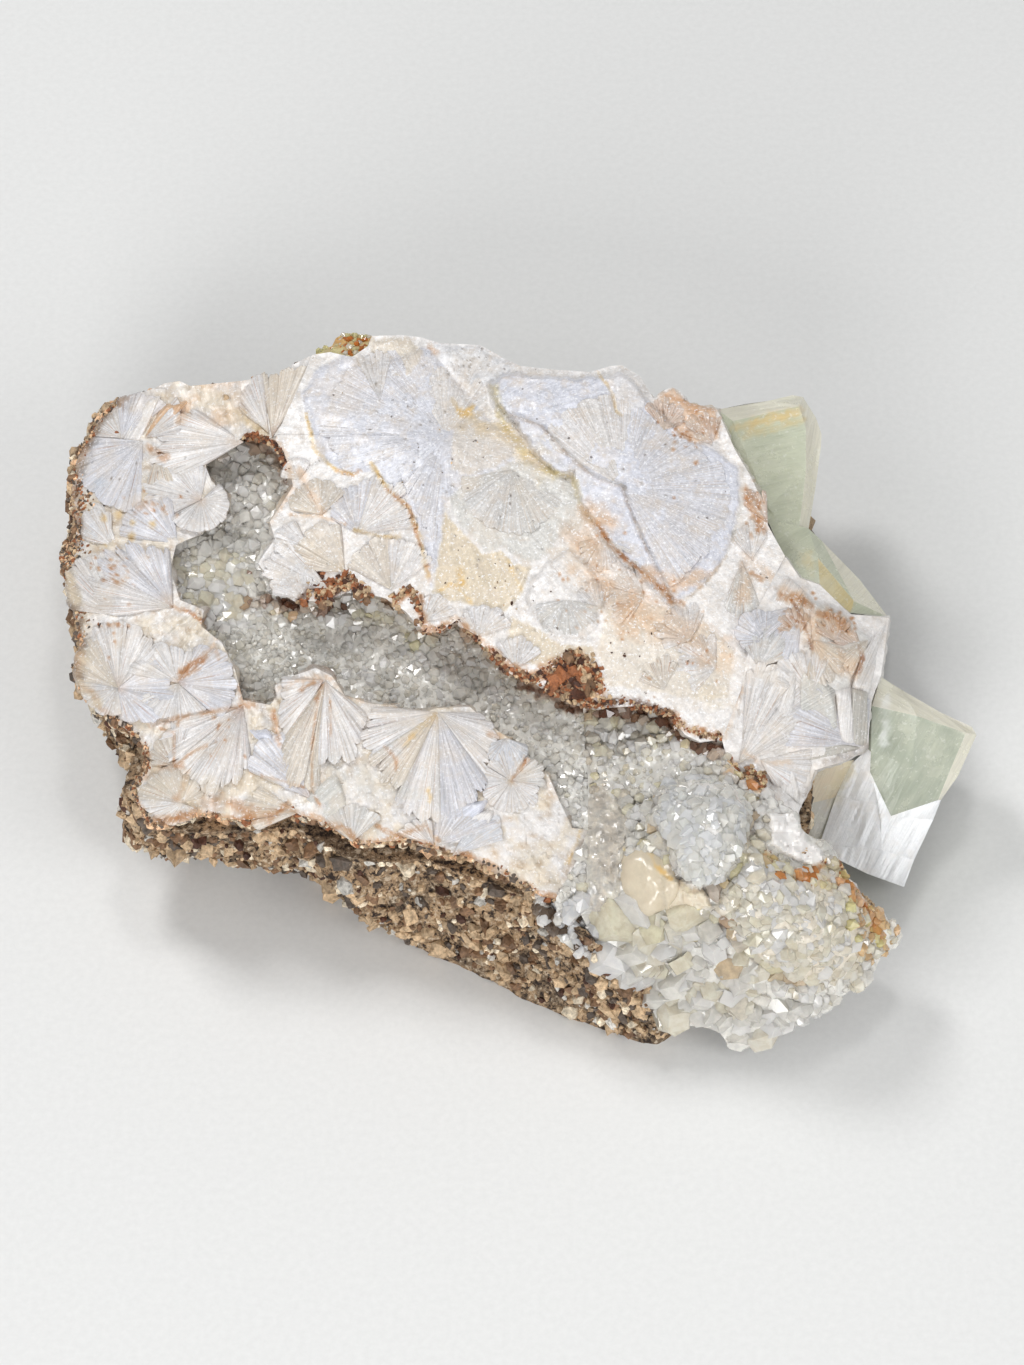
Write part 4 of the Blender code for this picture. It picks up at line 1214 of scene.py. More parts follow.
@dataclass(frozen=True)
class PearlFinish:
    """Stilbite: silky, finely ribbed along its blades, slightly deep, with a pearly sheen."""

    name: str = "pearl_stilbite"
    roughness: tuple[float, float] = (0.3, 0.55)
    depth: float = 0.12
    ribs: float = 0.55
    coat: float = 0.3
    mottle: float = 0.35
    sugar: float = 0.88
    dots: float = 0.0
    # Darkest share of the painted rib shade.
    painted_rib_shade: float = 0.66
    glint: float = 0.45

    def make(self) -> Material:
        """Colour from the points with painted shade and highlight along the ribs and painted glints, ribs
        along the pattern, and grain all over.
        """
        weave = Weave(self.name)
        place = weave.place()
        ribs = weave.noise(weave.layout((0.6, 0.25, 1.0)), 3.0, 5.0, 0.75)
        grain = weave.noise(place, 1500.0, 4.0, 0.7)
        cloud = weave.noise(place, 160.0, 4.0, 0.6)
        # Painted shade and highlight along the ribs: darker where the rib noise is low, a little lighter
        # where it is high.
        weave.shade(ribs, 0.32, 0.64, self.painted_rib_shade, 1.08)
        weave.shade(grain, 0.32, 0.68, self.sugar, 1.06)
        weave.veil(weave.noise(place, 420.0, 5.0, 0.7), 0.5, 0.66, self.mottle, (206, 192, 176))
        weave.veil(cloud, 0.5, 0.68, 0.3, (226, 208, 184))
        weave.veil(weave.noise(place, 2300.0, 2.0), 0.58, 0.66, self.glint, (250, 250, 252))
        near = weave.node("TexVoronoi", {"Vector": place, "Scale": 330.0}).outputs["Distance"]
        dots = weave.node("Math", {0: weave.spread(near, 0.1, 0.06),
            1: weave.spread(grain, 0.5, 0.52, 0.0, self.dots)}, operation="MULTIPLY").outputs[0]
        weave.veil(dots, 0.0, 1.0, 1.0, (70, 56, 46))
        weave.bump(ribs, self.ribs, 0.4 * MM)
        weave.bump(grain, 1.2 - self.sugar, 0.25 * MM)
        return weave.done(Roughness=weave.spread(cloud, 0.3, 0.7, *self.roughness), IOR=1.5,
            Subsurface_Weight=self.depth, Subsurface_Scale=0.8 * MM, Subsurface_Radius=(1.0, 0.9, 0.8),
            Coat_Weight=self.coat, Coat_Roughness=0.22)


@dataclass(frozen=True)
class QuartzFinish:
    """Clear to milky quartz: see-through, glossy, with faint inner clouds."""

    name: str = "clear_quartz"
    clear: float = 0.45
    roughness: float = 0.04
    milk: float = 0.3
    cloudy: tuple[float, float] = (0.45, 0.95)

    def make(self) -> Material:
        """Colour from the points, with clouds, and light that passes through."""
        weave = Weave(self.name)
        place = weave.place()
        cloud = weave.spread(weave.noise(place, 700.0, 4.0, 0.65), 0.4, 0.62, *self.cloudy)
        weave.tint = weave.mixed(cloud, weave.tint, (*linear(252, 246, 236), 1.0), "OVERLAY")
        weave.bump(weave.noise(place, 2600.0, 2.0), 0.12, 0.08 * MM)
        return weave.done(Roughness=self.roughness, IOR=1.54, Transmission_Weight=self.clear,
            Subsurface_Weight=self.milk, Subsurface_Scale=0.6 * MM, Subsurface_Radius=(1.0, 0.95, 0.9))


@dataclass(frozen=True)
class RockFinish:
    """Weathered basalt: brown to tan, pitted and crumbly, with dark hollows."""

    name: str = "weathered_basalt"

    def make(self) -> Material:
        """Colour from the points, broken up by two noises, and a coarse bump with small pits."""
        weave = Weave(self.name)
        place = weave.place()
        fine = weave.noise(place, 900.0, 5.0, 0.75)
        weave.veil(weave.noise(place, 170.0, 5.0, 0.7), 0.42, 0.58, 0.75, (196, 162, 124))
        weave.veil(fine, 0.5, 0.42, 1.0, (42, 30, 24))
        weave.veil(fine, 0.55, 0.62, 0.6, (230, 214, 190))
        pits = weave.node("TexVoronoi", {"Vector": place, "Scale": 620.0}).outputs["Distance"]
        weave.bump(fine, 0.9, 0.5 * MM)
        weave.bump(pits, 0.45, 0.35 * MM)
        return weave.done(Roughness=weave.spread(fine, 0.3, 0.7, 0.95, 0.6))


@dataclass(frozen=True)
class GreenFinish:
    """Pale green heulandite: waxy and slightly deep, with fine parallel striations."""

    name: str = "green_heulandite"
    clear: float = 0.12
    roughness: tuple[float, float] = (0.16, 0.34)

    def make(self) -> Material:
        """Colour from the points, with striations along the pattern and clouds inside."""
        weave = Weave(self.name)
        place = weave.place()
        lines = weave.noise(weave.layout((1.0, 1.0, 1.0)), 2.4, 6.0, 0.72)
        cloud = weave.noise(place, 140.0, 5.0, 0.65)
        weave.shade(lines, 0.3, 0.7, 0.88, 1.12)
        weave.veil(cloud, 0.42, 0.7, 0.45, (226, 226, 206))
        weave.veil(weave.noise(place, 1500.0, 2.0, 0.5), 0.62, 0.7, 0.35, (240, 240, 232))
        weave.bump(lines, 0.3, 0.3 * MM)
        return weave.done(Roughness=weave.spread(cloud, 0.3, 0.7, *self.roughness), IOR=1.5,
            Transmission_Weight=self.clear, Subsurface_Weight=0.35, Subsurface_Scale=2.0 * MM,
            Subsurface_Radius=(1.0, 1.0, 0.85))


@dataclass(frozen=True)
class CrumbFinish:
    """Iron-stained crumbs: rough and dark brown, with lighter rust on their points."""

    name: str = "iron_crumbs"

    def make(self) -> Material:
        """Colour from the points, broken by fine noise."""
        weave = Weave(self.name)
        fine = weave.noise(weave.place(), 1300.0, 4.0, 0.7)
        weave.shade(fine, 0.32, 0.68, 0.5, 1.45)
        weave.bump(fine, 0.8, 0.3 * MM)
        return weave.done(Roughness=0.6)


# Forms on the crusts


@dataclass(frozen=True)
class Table:
    """A plate on a crust: raised inside an outline, with a steep edge, a tone and a low dome."""

    outline: Pixels
    rise: float
    tone: Tone
    share: float = 0.7
    edge: float = 3.0
    dome: float = 0.0
    reach: float = 40.0
    ragged: float = 1.8
    lean: float = 0.0

    def depth(self, spots: Array) -> Array:
        """How far places lie inside its outline, once noise has moved them a little."""
        shift = np.stack([rough(spots, 9.0, 91 + axis, 3) for axis in range(2)], axis=1)
        moved = spots + shift * self.ragged
        result = np.zeros(len(spots))
        within = inside(moved, self.outline)
        result[within] = nearest_on(moved[within], self.outline, closed=True)[1]
        return result

    def lift(self, spots: Array) -> Array:
        """Its rise at places: a smooth step over its edge, with a lean, then the dome."""
        depth = self.depth(spots)
        step = np.clip(depth / self.edge, 0.0, 1.0)
        swell = 1.0 - (1.0 - np.clip(depth / self.reach, 0.0, 1.0)) ** 2
        left = min(spot[0] for spot in self.outline)
        rise = self.rise - self.lean * (spots[:, 0] - left)
        return (rise * step * step * (3.0 - 2.0 * step) + self.dome * swell) * MM

    def paint(self, spots: Array, colour: Array) -> Array:
        """Lays its tone over a colour inside its outline."""
        within = np.clip(self.depth(spots) / 2.5, 0.0, 1.0)[:, None] * self.share
        return blend(colour, self.tone.light(), within)


@dataclass(frozen=True)
class Ridge:
    """A fold along a path: highest on it, and falling away over its width."""

    path: Pixels
    rise: float
    width: float

    def lift(self, spots: Array) -> Array:
        """Its rise at places: the square of one less distance over width."""
        near = np.clip(1.0 - nearest_on(spots, self.path)[1] / self.width, 0.0, 1.0)
        return near * near * self.rise * MM


def forms_of(tables: Sequence[Table], ridges: Sequence[Ridge]) -> tuple[Field, Callable]:
    """Relief and colour of a crust from its plates and folds, added up in order."""

    def relief(spots: Array) -> Array:
        """Rises of all plates and folds at places."""
        return sum((form.lift(spots) for form in (*tables, *ridges)), np.zeros(len(spots)))

    def paint(spots: Array, colour: Array) -> Array:
        """Tones of all plates, one over another."""
        for table in tables:
            colour = table.paint(spots, colour)
        return colour

    return relief, paint


def specks(centre: tuple[float, float], spread: tuple[float, float], count: int, tone: Tone, seed: int,
        size: float = 2.2) -> list[StainAndShade]:
    """Small dots scattered about a centre."""
    chance = np.random.default_rng(seed)
    spots = np.array(centre) + chance.normal(0.0, 0.5, (count, 2)) * np.array(spread)
    widths = size * chance.uniform(0.6, 1.6, count)
    return [StainAndShade((tuple(spot),), float(width), tone, 0.85, 0.3) for spot, width in zip(spots, widths)]


def scatter(*texts: str) -> list[StainAndShade]:
    """Dots in several places, from their values as text."""
    return [stain for text in texts for stain in specks(*read(text))]


# The left lobe and the lower sprays

LEFT_STAINS = (
    StainAndShade(LEFT_END[11:], 13.0, Tone.SHADOW, 0.75),
    StainAndShade(LEFT_END[10:], 8.0, Tone.RUST, 0.45),
    StainAndShade(LEFT_END[:11], 5.0, Tone.RUST, 0.5),
    StainAndShade(FRONT_RIM, 6.0, Tone.RUST, 0.7),
    *forms(
        StainAndShade,
        "12 rust .55: 204,806 224,800 245,812 268,816", "8 rust .5: 140,822 175,818 196,812",
        "6 dark_rust .9: 246,436 256,440 270,441 279,460 288,478", "3 rust .8: 288,478 290,496 279,511",
        "16 peach .5: 205,385 240,385 238,412 210,420", "4 shadow .9 .2: 225,397 229,399",
        "13 cream .9: 60,545 66,572 78,604", "11 cream .8: 84,655 80,682 96,702",
        "14 bluish .75: 95,489 101,486", "10 bluish .5: 88,528 96,532", "7 rust .55: 150,448 166,458",
        "7 peach .6: 180,420 190,402 196,398", "7 yellow .6: 240,412 256,428 268,438",
        "8 rust .35: 139,506 150,502", "4 dark_rust .8 .2: 199,566 201,567",
        "7 rust .75: 182,672 196,662 203,659", "3 rust .7: 178,680 200,668",
        "4 rust .7: 205,655 214,645 219,658", "3.5 rust .75: 172,607 190,612 202,622 208,622",
        "4 rust .5: 240,684 242,700", "6 rust .85: 243,704 252,706",
        "4 rust .55: 243,706 210,712 178,718 150,726", "3.5 rust .8: 178,716 178,724",
        "2.2 rust .6: 174,732 174,766", "2.2 rust .6: 160,728 172,732",
        "6 rust .5: 136,780 160,768 180,766", "3 rust .5: 176,766 192,752 206,746",
        "5 rust .35: 175,800 184,786 188,772", "4.5 rust .8: 273,712 276,728 279,745",
        "2.5 rust .6: 262,776 286,782 304,788", "2.6 rust .55: 318,700 312,745 312,790 320,806",
        "4 rust .6: 300,690 314,682", "3 rust .6: 316,700 322,686", "2.4 rust .5: 330,700 331,735",
        "5 peach .55: 277,690 300,680 332,678 345,696 372,700", "5 yellow .75: 405,744 420,728 434,716",
        "3 rust .7: 385,746 396,760 396,770", "13 bluish .55: 375,745 392,752",
        "4 yellow .6: 428,790 430,800", "3.6 rust .85: 512,780 528,759", "12 bluish .45: 475,828 482,832",
        "4 rust .55: 376,826 400,836 424,826 438,840",
        "3.5 yellow .55: 584,716 585,777 587,809 578,840 567,863", "5 rust .35: 490,734 506,736",
        "26 frost .5: 330,770 360,785 400,790", "22 cream .45: 120,780 200,790 260,790",
    ),
    *scatter(
        "112,572 34,26 34 rust 1", "150,508 30,14 20 rust 2", "115,628 14,18 16 rust 3",
        "128,516 30,26 8 yellow 4 4", "230,735 40,26 12 rust 5", "205,612 12,12 10 dark_rust 6",
        "180,500 90,90 22 shadow 7 1.4",
    ),
)

LEFT_FACES = forms(
    Facet,
    "white 60: 119,441,.3 146,398,1 163,394,1.2 141,441,.5",
    "peach 50: 142,440,.3 163,404,1 190,400,1.4 160,436,.5",
    "lilac -50: 249,730,.3 268,728,1 303,784,1.4 286,792,.3",
    "white -55: 268,728,.3 284,740,.9 314,788,1 303,786,.5",
    "lilac 35: 428,840,.2 450,806,1 492,798,1.6 470,832,.6",
    "white 50: 450,844,.2 474,812,1.2 497,808,1.4 486,842,.3",
    "white -65: 90,500,.2 104,505,1 118,543,1.2 100,540,.3",
    "white -80: 84,640,.2 100,632,1 112,668,1 86,668,.3",
    "frost 40: 300,800,.2 336,770,1 350,806,.9 322,826,.2",
)

LEFT_SPRAYS = forms(
    Spray,
    "272,438 60 97 84,72,64 4 1.2 cream .35 .05 rust",
    "269,434 98 138 60,58,40 4 1.1 white .2 .05 yellow",
    "244,442 148 207 56,86,96,66 6 1 white .25 .08 peach",
    "145,438 10 50 36,44,52 4 1.5 white .5 .03 peach", "121,440 40 94 62,52,40 3 1.1 lilac .1 .04",
    "122,438 90 176 34,27,26 4 .8 white .2", "143,441 176 266 48,74,78,70 4 .9 lilac .1 .04",
    "158,452 250 350 40,34,40,44 6 .8 cream .5 .1 rust",
    "201,500 80 205 30,48,62,60 6 .8 white .05 .06 peach",
    "201,500 -150 40 36,34,31,28,24 7 1.7 white 0 .03 peach", "178,545 98 168 44,62,66 5 1.2 lilac .1",
    "112,546 92 168 34,44,30 4 1.4 white .1 .04", "173,607 96 152 64,84,88 6 1.4 lilac .12 .09 peach",
    "173,607 152 186 92,96,60 4 1.2 white .35 .09", "116,616 106 170 66,72,46 5 1.1 white .15",
    "118,688 40 112 62,66,62 6 1.2 white .12 .06 peach", "118,688 112 172 58,56,42 4 1.3 cream .05 .04",
    "118,688 168 278 40,34,26 4 1.5 white .1 .05 shadow",
    "118,688 -84 40 34,48,58,62 5 1 lilac .15 .06 peach",
    "178,683 58 168 30,46,58 5 1.2 white .12 .08 peach",
    "178,683 -40 62 56,62,60,44 6 1.3 lilac .12 .05 rust", "178,683 196 316 42,44,34,40 6 1 white .1",
    "243,706 190 234 70,96,98 6 1.1 white .35 .07 rust",
    "243,706 234 276 92,92,60 5 1.2 white .3 .07 rust", "174,766 14 92 50,56,46 6 .9 white .5 .08 rust",
    "174,766 88 176 38,30,26 4 .9 cream .25 .08", "182,803 16 176 26,30,40,46 6 1.2 cream .3 .08 peach",
    "182,803 172 338 44,26,18,20 5 1.2 white .2 .08", "324,680 178 236 46,50,78 5 1.2 white .35 .06 rust",
    "325,681 236 264 84,118,106 4 1.5 cream .3 .06 peach",
    "325,681 264 320 92,80,56 5 1.3 white .15 .05 peach",
    "312,800 112 152 74,80,70 3 1.5 lilac .1 .03 peach", "318,806 90 112 60,70,60 2 1.2 cream .3 .03",
    "438,712 178 214 64,82,84 5 1.2 white .15 .05 yellow",
    "438,712 214 246 78,92,96 5 1.4 cream .35 .05 yellow",
    "438,712 246 272 98,108,116 4 1.5 white .1 .05 yellow",
    "438,712 272 304 116,108,92 5 1.6 lilac 0 .05 cream",
    "438,712 304 356 88,74,62,46 6 1.2 white .1 .06 cream",
    "511,781 -10 44 32,36,34 4 1.1 frost .1 .06 rust", "511,781 44 148 30,32,30 5 1 white .05 .06 yellow",
    "511,781 148 350 30,32,36,34,30 9 .9 white .1 .06 yellow",
    "506,738 196 340 20,30,34,22 4 1.1 bluish 0 .06", "436,846 18 76 68,56,34 4 1.3 lilac 0 .04",
    "452,856 20 60 52,62,44 3 1.1 bluish .05 .04", "434,846 96 160 26,34,40 4 1.1 white .3 .06 rust",
    "352,842 40 140 42,40,34 5 .8 frost .1 .06", "300,812 150 200 50,60,50 4 .8 cream .3 .06",
)


@dataclass
class Stilbite:
    """A crust of stilbite with blades on it, which all stand for one node."""

    node: str
    slot: str
    sprays: tuple[Spray, ...]
    stains_and_shade: tuple[StainAndShade, ...]
    seed: int

    def blades(self, crust: Crust) -> list[Surface]:
        """Every spray on its crust."""
        return [spray.surface(crust.level, self.stains_and_shade, self.seed + index) for index,
            spray in enumerate(self.sprays)]

    def show(self, title: str, surfaces: Sequence[Surface], pearl: Material) -> None:
        """Makes surfaces one piece, smooth where its edges bend by less than 25 degrees."""
        piece(title, together(surfaces), pearl, self.node, 25.0)


@dataclass
class LeftSprays(Stilbite):
    """The left lobe and the lower sprays: a white crust round the channel, full of blades."""

    node: str = "stilbite_left_sprays"
    slot: str = "white_stilbite"
    sprays: tuple[Spray, ...] = LEFT_SPRAYS
    stains_and_shade: tuple[StainAndShade, ...] = LEFT_STAINS
    seed: int = 100

    def hollows(self, spots: Array, colour: Array) -> Array:
        """Warms and darkens the crust between the blades, partly its own warm tone and partly painted shade:
        darker overall, then cream to tan where noise is high.
        """
        warm = np.clip(rough(spots, 16.0, 8, 4) + 0.35, 0.0, 1.0)[:, None] * 0.75
        deep = np.clip(rough(spots, 9.0, 18, 3) - 0.25, 0.0, 1.0)[:, None] * 0.7
        colour = blend(colour * 0.93, Tone.CREAM.light(), warm)
        return blend(colour, Tone.TAN.light(), deep)

    def crust(self) -> Crust:
        """The crust under the blades."""
        outline = joined(LEFT_REAR, SEAM, BANK, LEDGE_BELOW, FRONT_RIM, LEFT_END)
        return Crust(outline, Heights(LEFT_HEIGHTS), BED.on_rock, self.stains_and_shade, seed=3,
            centre=(250.0, 560.0), wall_tone=Tone.BROWN, base_paint=self.hollows)

    def build(self, pearl: Material, crumb: Material) -> None:
        """Builds the crust, the basalt crumbs round it and the sprays on it."""
        crust = self.crust()
        surface = crust.surface()
        self.show("left_crust", [surface], pearl)
        Details().rim_crumbs(crust, surface, crumb)
        blades = self.blades(crust)
        half = len(blades) // 2
        self.show("left_lobe_sprays", blades[:half], pearl)
        blades.append(faces_on(crust.level, LEFT_FACES, self.stains_and_shade, 160))
        self.show("lower_sprays", blades[half:], pearl)


# The upper plate with its pearly disc


PLATE_TABLES = (
    *forms(
        Table,
        ".35 lilac .75 9 .5 60: 300,392 316,368 345,352 372,362 430,345 450,370 470,400 492,420 520,440 "
        "510,470 470,486 446,505 440,560 430,592 424,560 414,520 392,496 372,472 352,476 322,462 310,430",
        ".3 bluish .35 8: 432,343 480,345 503,358 520,366 500,380 488,384 470,396 456,384 442,366",
        ".35 cream .6 7: 369,337 410,336 424,352 412,372 396,390 384,396 378,375 368,352",
        ".2 cream .5 9: 452,424 470,416 512,424 530,450 520,456 500,466 470,478 450,470",
        ".25 frost .8 8: 446,500 470,478 500,466 530,456 556,474 574,482 585,508 592,524 560,540 540,562 "
        "520,562 500,548 486,552 462,528",
        "-.25 cream .95 7: 443,508 462,530 482,552 500,550 512,562 534,566 524,590 516,606 500,614 480,606 "
        "450,602 432,592 438,560",
        ".6 white .6 6 .3 30: 524,600 530,578 546,560 570,548 592,566 604,590 606,608 594,630 578,640 "
        "556,638 536,624",
        "0 cream .9 3: 510,614 534,626 560,642 592,646 600,670 586,655 560,664 540,668 520,664 506,640",
        ".1 cream .5 4: 606,610 640,600 664,604 700,616 735,650 728,700 690,700 640,690 606,686 596,650",
    ),
    Table(DISC, 2.4, Tone.LILAC, 0.85, 4.0, 0.5, 50.0, 1.8, 0.0086),
    *forms(
        Table,
        ".15 cream .7 2: 598,414 612,414 622,420 622,434 610,442 600,448 596,430",
        ".35 white .6 5: 599,374 622,366 640,376 654,399 640,412 622,416 614,392",
        ".3 peach .75 2.5: 656,394 672,387 690,402 717,409 720,440 700,444 680,438 664,416",
    ),
)

PLATE_RIDGES = forms(
    Ridge,
    ".6 5: 511,415 541,426 572,459 595,478 622,487", ".6 5: 622,487 631,512 643,541 660,575 673,604",
    ".6 5: 489,384 494,404 514,427", "-.25 2.5: 599,374 612,392 616,411 623,416",
    "-.2 2: 602,446 589,462", ".8 4.5: 592,524 620,556 652,579 672,602",
)

PLATE_STAINS_AND_SHADE = (
    *forms(
        StainAndShade,
        # On the disc, the golden, grey and tan lines along its raised rim are painted shadow under the rim
        # over its own yellowish tone, and the brown lines along its folds and the grey band beside the first
        # fold are painted shade.
        "7 golden .85: 494,388 503,424 526,453 539,464 555,474",
        "5 golden .8: 555,474 574,478 581,505 592,520",
        "4.5 rust .9: 597,522 610,545 629,562 652,579 671,602",
        "2.6 brown .4: 511,415 541,426 572,459 595,478 622,487", "6 grey .4: 530,432 560,462 590,482",
        "2.4 brown .45: 622,487 631,512 643,541 660,575 673,604", "5 rust .7: 664,586 672,600 682,604",
        "3 grey .7: 742,462 741,510 727,555", "2.6 tan .7: 727,555 708,580 684,602",
        "4 grey .6: 489,384 494,404 514,427", "2.5 yellow .6: 599,374 612,392 616,411 622,416",
        "14 peach .7: 650,575 678,585 700,575", "30 peach .75: 600,520 590,560 620,590 640,620",
        "14 rust .25: 566,528 580,545", "26 peach .55: 640,610 690,640 725,660",
        "20 cream .6: 700,690 724,700", "10 rust .35: 690,410 714,425",
        "4 rust .4: 660,392 690,404 716,410", "9 rust .55: 746,490 752,510 762,528",
        "3.2 yellow .8: 306,414 315,450 336,471 354,474", "3.2 rust .6: 338,471 354,475 360,470",
        "4 yellow .8: 371,463 390,492 409,508 419,536 428,576",
        "3 rust .7: 385,488 409,508 414,524 420,545", "4 rust .5: 427,566 430,580",
        "6 yellow .8: 463,414 480,415", "4 yellow .8: 452,400 462,416 472,406",
        "20 yellow .35: 472,420 520,440 540,468", "7 yellow .9: 461,572 462,584",
        "3 yellow .8: 440,590 452,584 460,590 472,604", "3.5 yellow .6: 508,560 514,576 522,590",
        "5 rust .7: 430,347 436,352", "8 peach .6: 300,470 316,500 322,512",
        "3 peach .7: 290,515 320,516 345,524", "3 yellow .6: 355,530 380,536 400,537",
    ),
    StainAndShade(LIP[:6], 5.0, Tone.PEACH, 0.6),
    *forms(
        StainAndShade,
        "6 dark_rust .85: 301,600 310,585 322,600", "10 dark_rust .85: 322,600 345,585 366,598",
        "7 rust .85: 394,604 405,594 418,598 425,630",
        "6 rust .75: 425,630 440,628 457,618 474,636 490,650", "8 rust .85: 490,650 510,668 540,676",
        # Dark rust from 560,685 to 670,714 is painted shadow under the lip's right part.
        "12 rust .9: 545,668 575,658 590,670 600,690", "8 dark_rust .9: 560,685 585,705 624,701 670,714",
        "7 rust .85: 670,714 688,730 722,736", "12 peach .5: 780,590 765,570 748,560 742,600",
        "5 rust .5: 752,574 760,578",
    ),
    *scatter(
        "390,430 90,70 46 shadow 11 1.5", "480,540 100,80 40 shadow 12 1.5", "610,590 70,60 50 rust 13 2",
        "690,430 30,24 34 rust 14 2.4", "755,510 12,26 24 rust 15 2.6", "650,450 90,60 18 shadow 16 1.4",
        "695,660 40,40 22 rust 17 2", "470,360 34,20 16 shadow 18 1.8",
    ),
)

PLATE_SPRAYS = forms(
    Spray,
    "622,487 -62 12 112,108,112,104 7 .3 lilac 0 .02 white .05 .14",
    "622,487 16 80 98,72,84 6 .3 lilac 0 .02 white .05 .14",
    "622,487 86 148 86,98,96 6 .3 white 0 .02 white .05 .14",
    "445,435 44 118 60,76,80 8 .25 white 0 .03 white .05 .12",
    "445,435 122 200 96,120,126,104 9 .25 lilac 0 .03 white .05 .12",
    "445,435 232 262 64,80,110 5 .25 lilac 0 .03 white .05 .12",
    "512,470 190 330 52,60,66,60 9 .2 frost 0 .03 frost .05 .1",
    "357,533 8 74 58,62,66,58 6 .7 white .15 .05 cream",
    "357,533 74 150 54,50,42,30 6 .6 lilac .05 .05 cream",
    "322,515 44 168 30,38,40,32 6 .7 cream .2 .06 rust",
    "345,572 98 176 50,56,60,54 7 1 cream .1 .04 yellow",
    "391,590 38 92 52,56,54 6 .9 white .05 .04 cream", "391,590 92 150 56,54,50 5 .8 cream .05 .04 cream",
    "328,588 128 180 60,70,58 6 1 white .08 .06 cream",
    "306,600 88 168 28,36,34 4 .9 white .05 .05 cream", "310,548 120 200 32,38,36 5 .7 white 0 .05 cream",
    "300,480 60 170 20,24,20 3 .5 white 0 .05 cream", "424,622 14 96 36,34,26 5 .7 white .1 .06 cream",
    "478,636 20 150 40,34,30,22 7 .8 white .1 .06 cream",
    "516,668 30 130 28,34,30 5 .8 white .1 .06 cream",
    "566,600 -170 -10 30,38,36,34 8 .5 frost 0 .04 white",
    "380,402 78 118 46,54,48 4 .5 white 0 .04 lilac", "752,560 60 130 30,40,34 4 .8 white .1 .05 peach",
    "742,560 250 290 50,64,50 4 .7 frost .1 .05 peach",
    "604,536 196 330 30,36,30 9 .25 white .1 .1 cream",
    "644,596 100 240 34,42,36 9 .25 white .1 .1 cream", "600,610 40 150 26,32,28 7 .25 white .1 .1 cream",
    "690,640 60 200 34,40,30 8 .25 white .1 .1 cream", "716,668 90 230 34,44,38 8 .25 white .1 .1 white",
    "664,690 60 160 30,36,30 7 .3 cream .2 .1 white", "664,430 20 130 24,34,30 7 .4 peach .6 .1 cream",
    "712,444 70 160 30,34,36 7 .4 peach .6 .1 white", "768,524 96 140 30,46,34 5 .5 peach .6 .1 rust",
)


@dataclass
class UpperPlate(Stilbite):
    """The large upper plate: brushed lilac plates, cream ones, and the raised disc."""

    node: str = "stilbite_upper_plate"
    slot: str = "pearly_plate"
    sprays: tuple[Spray, ...] = PLATE_SPRAYS
    stains_and_shade: tuple[StainAndShade, ...] = PLATE_STAINS_AND_SHADE
    seed: int = 200

    def crust(self) -> Crust:
        """The crust with its plates and folds."""
        outline = joined(PLATE_REAR, PLATE_RIGHT, SHOULDER, BLOCK_RIDGE, turned(LIP_RIGHT), turned(LIP),
            turned(SEAM))
        relief, paint = forms_of(PLATE_TABLES, PLATE_RIDGES)
        return Crust(outline, Heights(PLATE_HEIGHTS), BED.on_rock, self.stains_and_shade, step=1.7,
            grain_size=16.0, grain=0.1 * MM, swell=0.22 * MM, seed=13, relief=relief, base_paint=paint)

    def build(self, pearl: Material) -> None:
        """Builds the plate and the sprays at its lower edge."""
        crust = self.crust()
        self.show("upper_plate", [crust.surface()], pearl)
        self.show("plate_sprays", self.blades(crust), pearl)


# The right block


BLOCK_TABLES = forms(
    Table,
    ".4 white .6 3: 748,632 765,606 785,580 800,585 812,600 812,634 800,660 790,690 770,720 745,735 "
    "735,728 741,690 748,652",
    ".7 frost .6 3: 812,600 830,606 850,618 872,640 862,660 850,690 830,700 812,690 800,664 812,634",
    ".1 white .8 2: 850,692 864,657 884,624 880,668 871,703 866,740 852,744",
)

BLOCK_STAINS_AND_SHADE = (
    *forms(
        StainAndShade,
        "14 peach .7: 785,590 800,600 814,630", "12 peach .7: 824,614 846,630",
        "16 peach .6: 814,645 850,668", "4 iron .9: 859,648 863,660 858,672",
        "3 iron .7: 792,600 804,622 812,648", "6 rust .5: 780,596 796,596 812,606",
        "6 rust .6: 820,614 836,618 848,630", "4 peach .4: 744,752 762,764 790,762",
        # Shadow under the block's lower edge is painted shade.
        "9 shadow .5: 806,794 830,765 868,748", "8 rust .5: 728,762 750,782 774,800",
        "5 peach .5: 741,690 724,738",
    ),
    *scatter(
        "800,612 22,22 30 rust 21 2.2", "838,622 16,14 22 rust 22 2.2",
    ),
)

BLOCK_FACES = forms(
    Facet,
    "white 70: 741,735,.3 752,668,.9 800,662,1 796,728,.8",
    "frost 30: 796,728,.6 800,664,1.1 836,690,1.3 842,742,.8",
    "white 85: 840,744,.6 834,690,1.3 853,686,2 856,746,1.2",
    "grey 85: 852,746,1 850,686,2 868,690,1.4 869,748,.4",
    "white 65: 850,690,1.6 861,654,1.2 887,620,.5 870,694,1.4",
    "white 8: 741,739,.3 800,728,.9 844,742,.9 760,757,.4",
    "grey 12: 760,757,.3 842,742,.9 869,748,.4 800,763,.4",
    "white 60: 770,600,.2 786,574,.4 806,590,.6 802,616,.6",
    "white 80: 764,764,.3 796,764,.6 802,808,.4 780,790,.3",
)

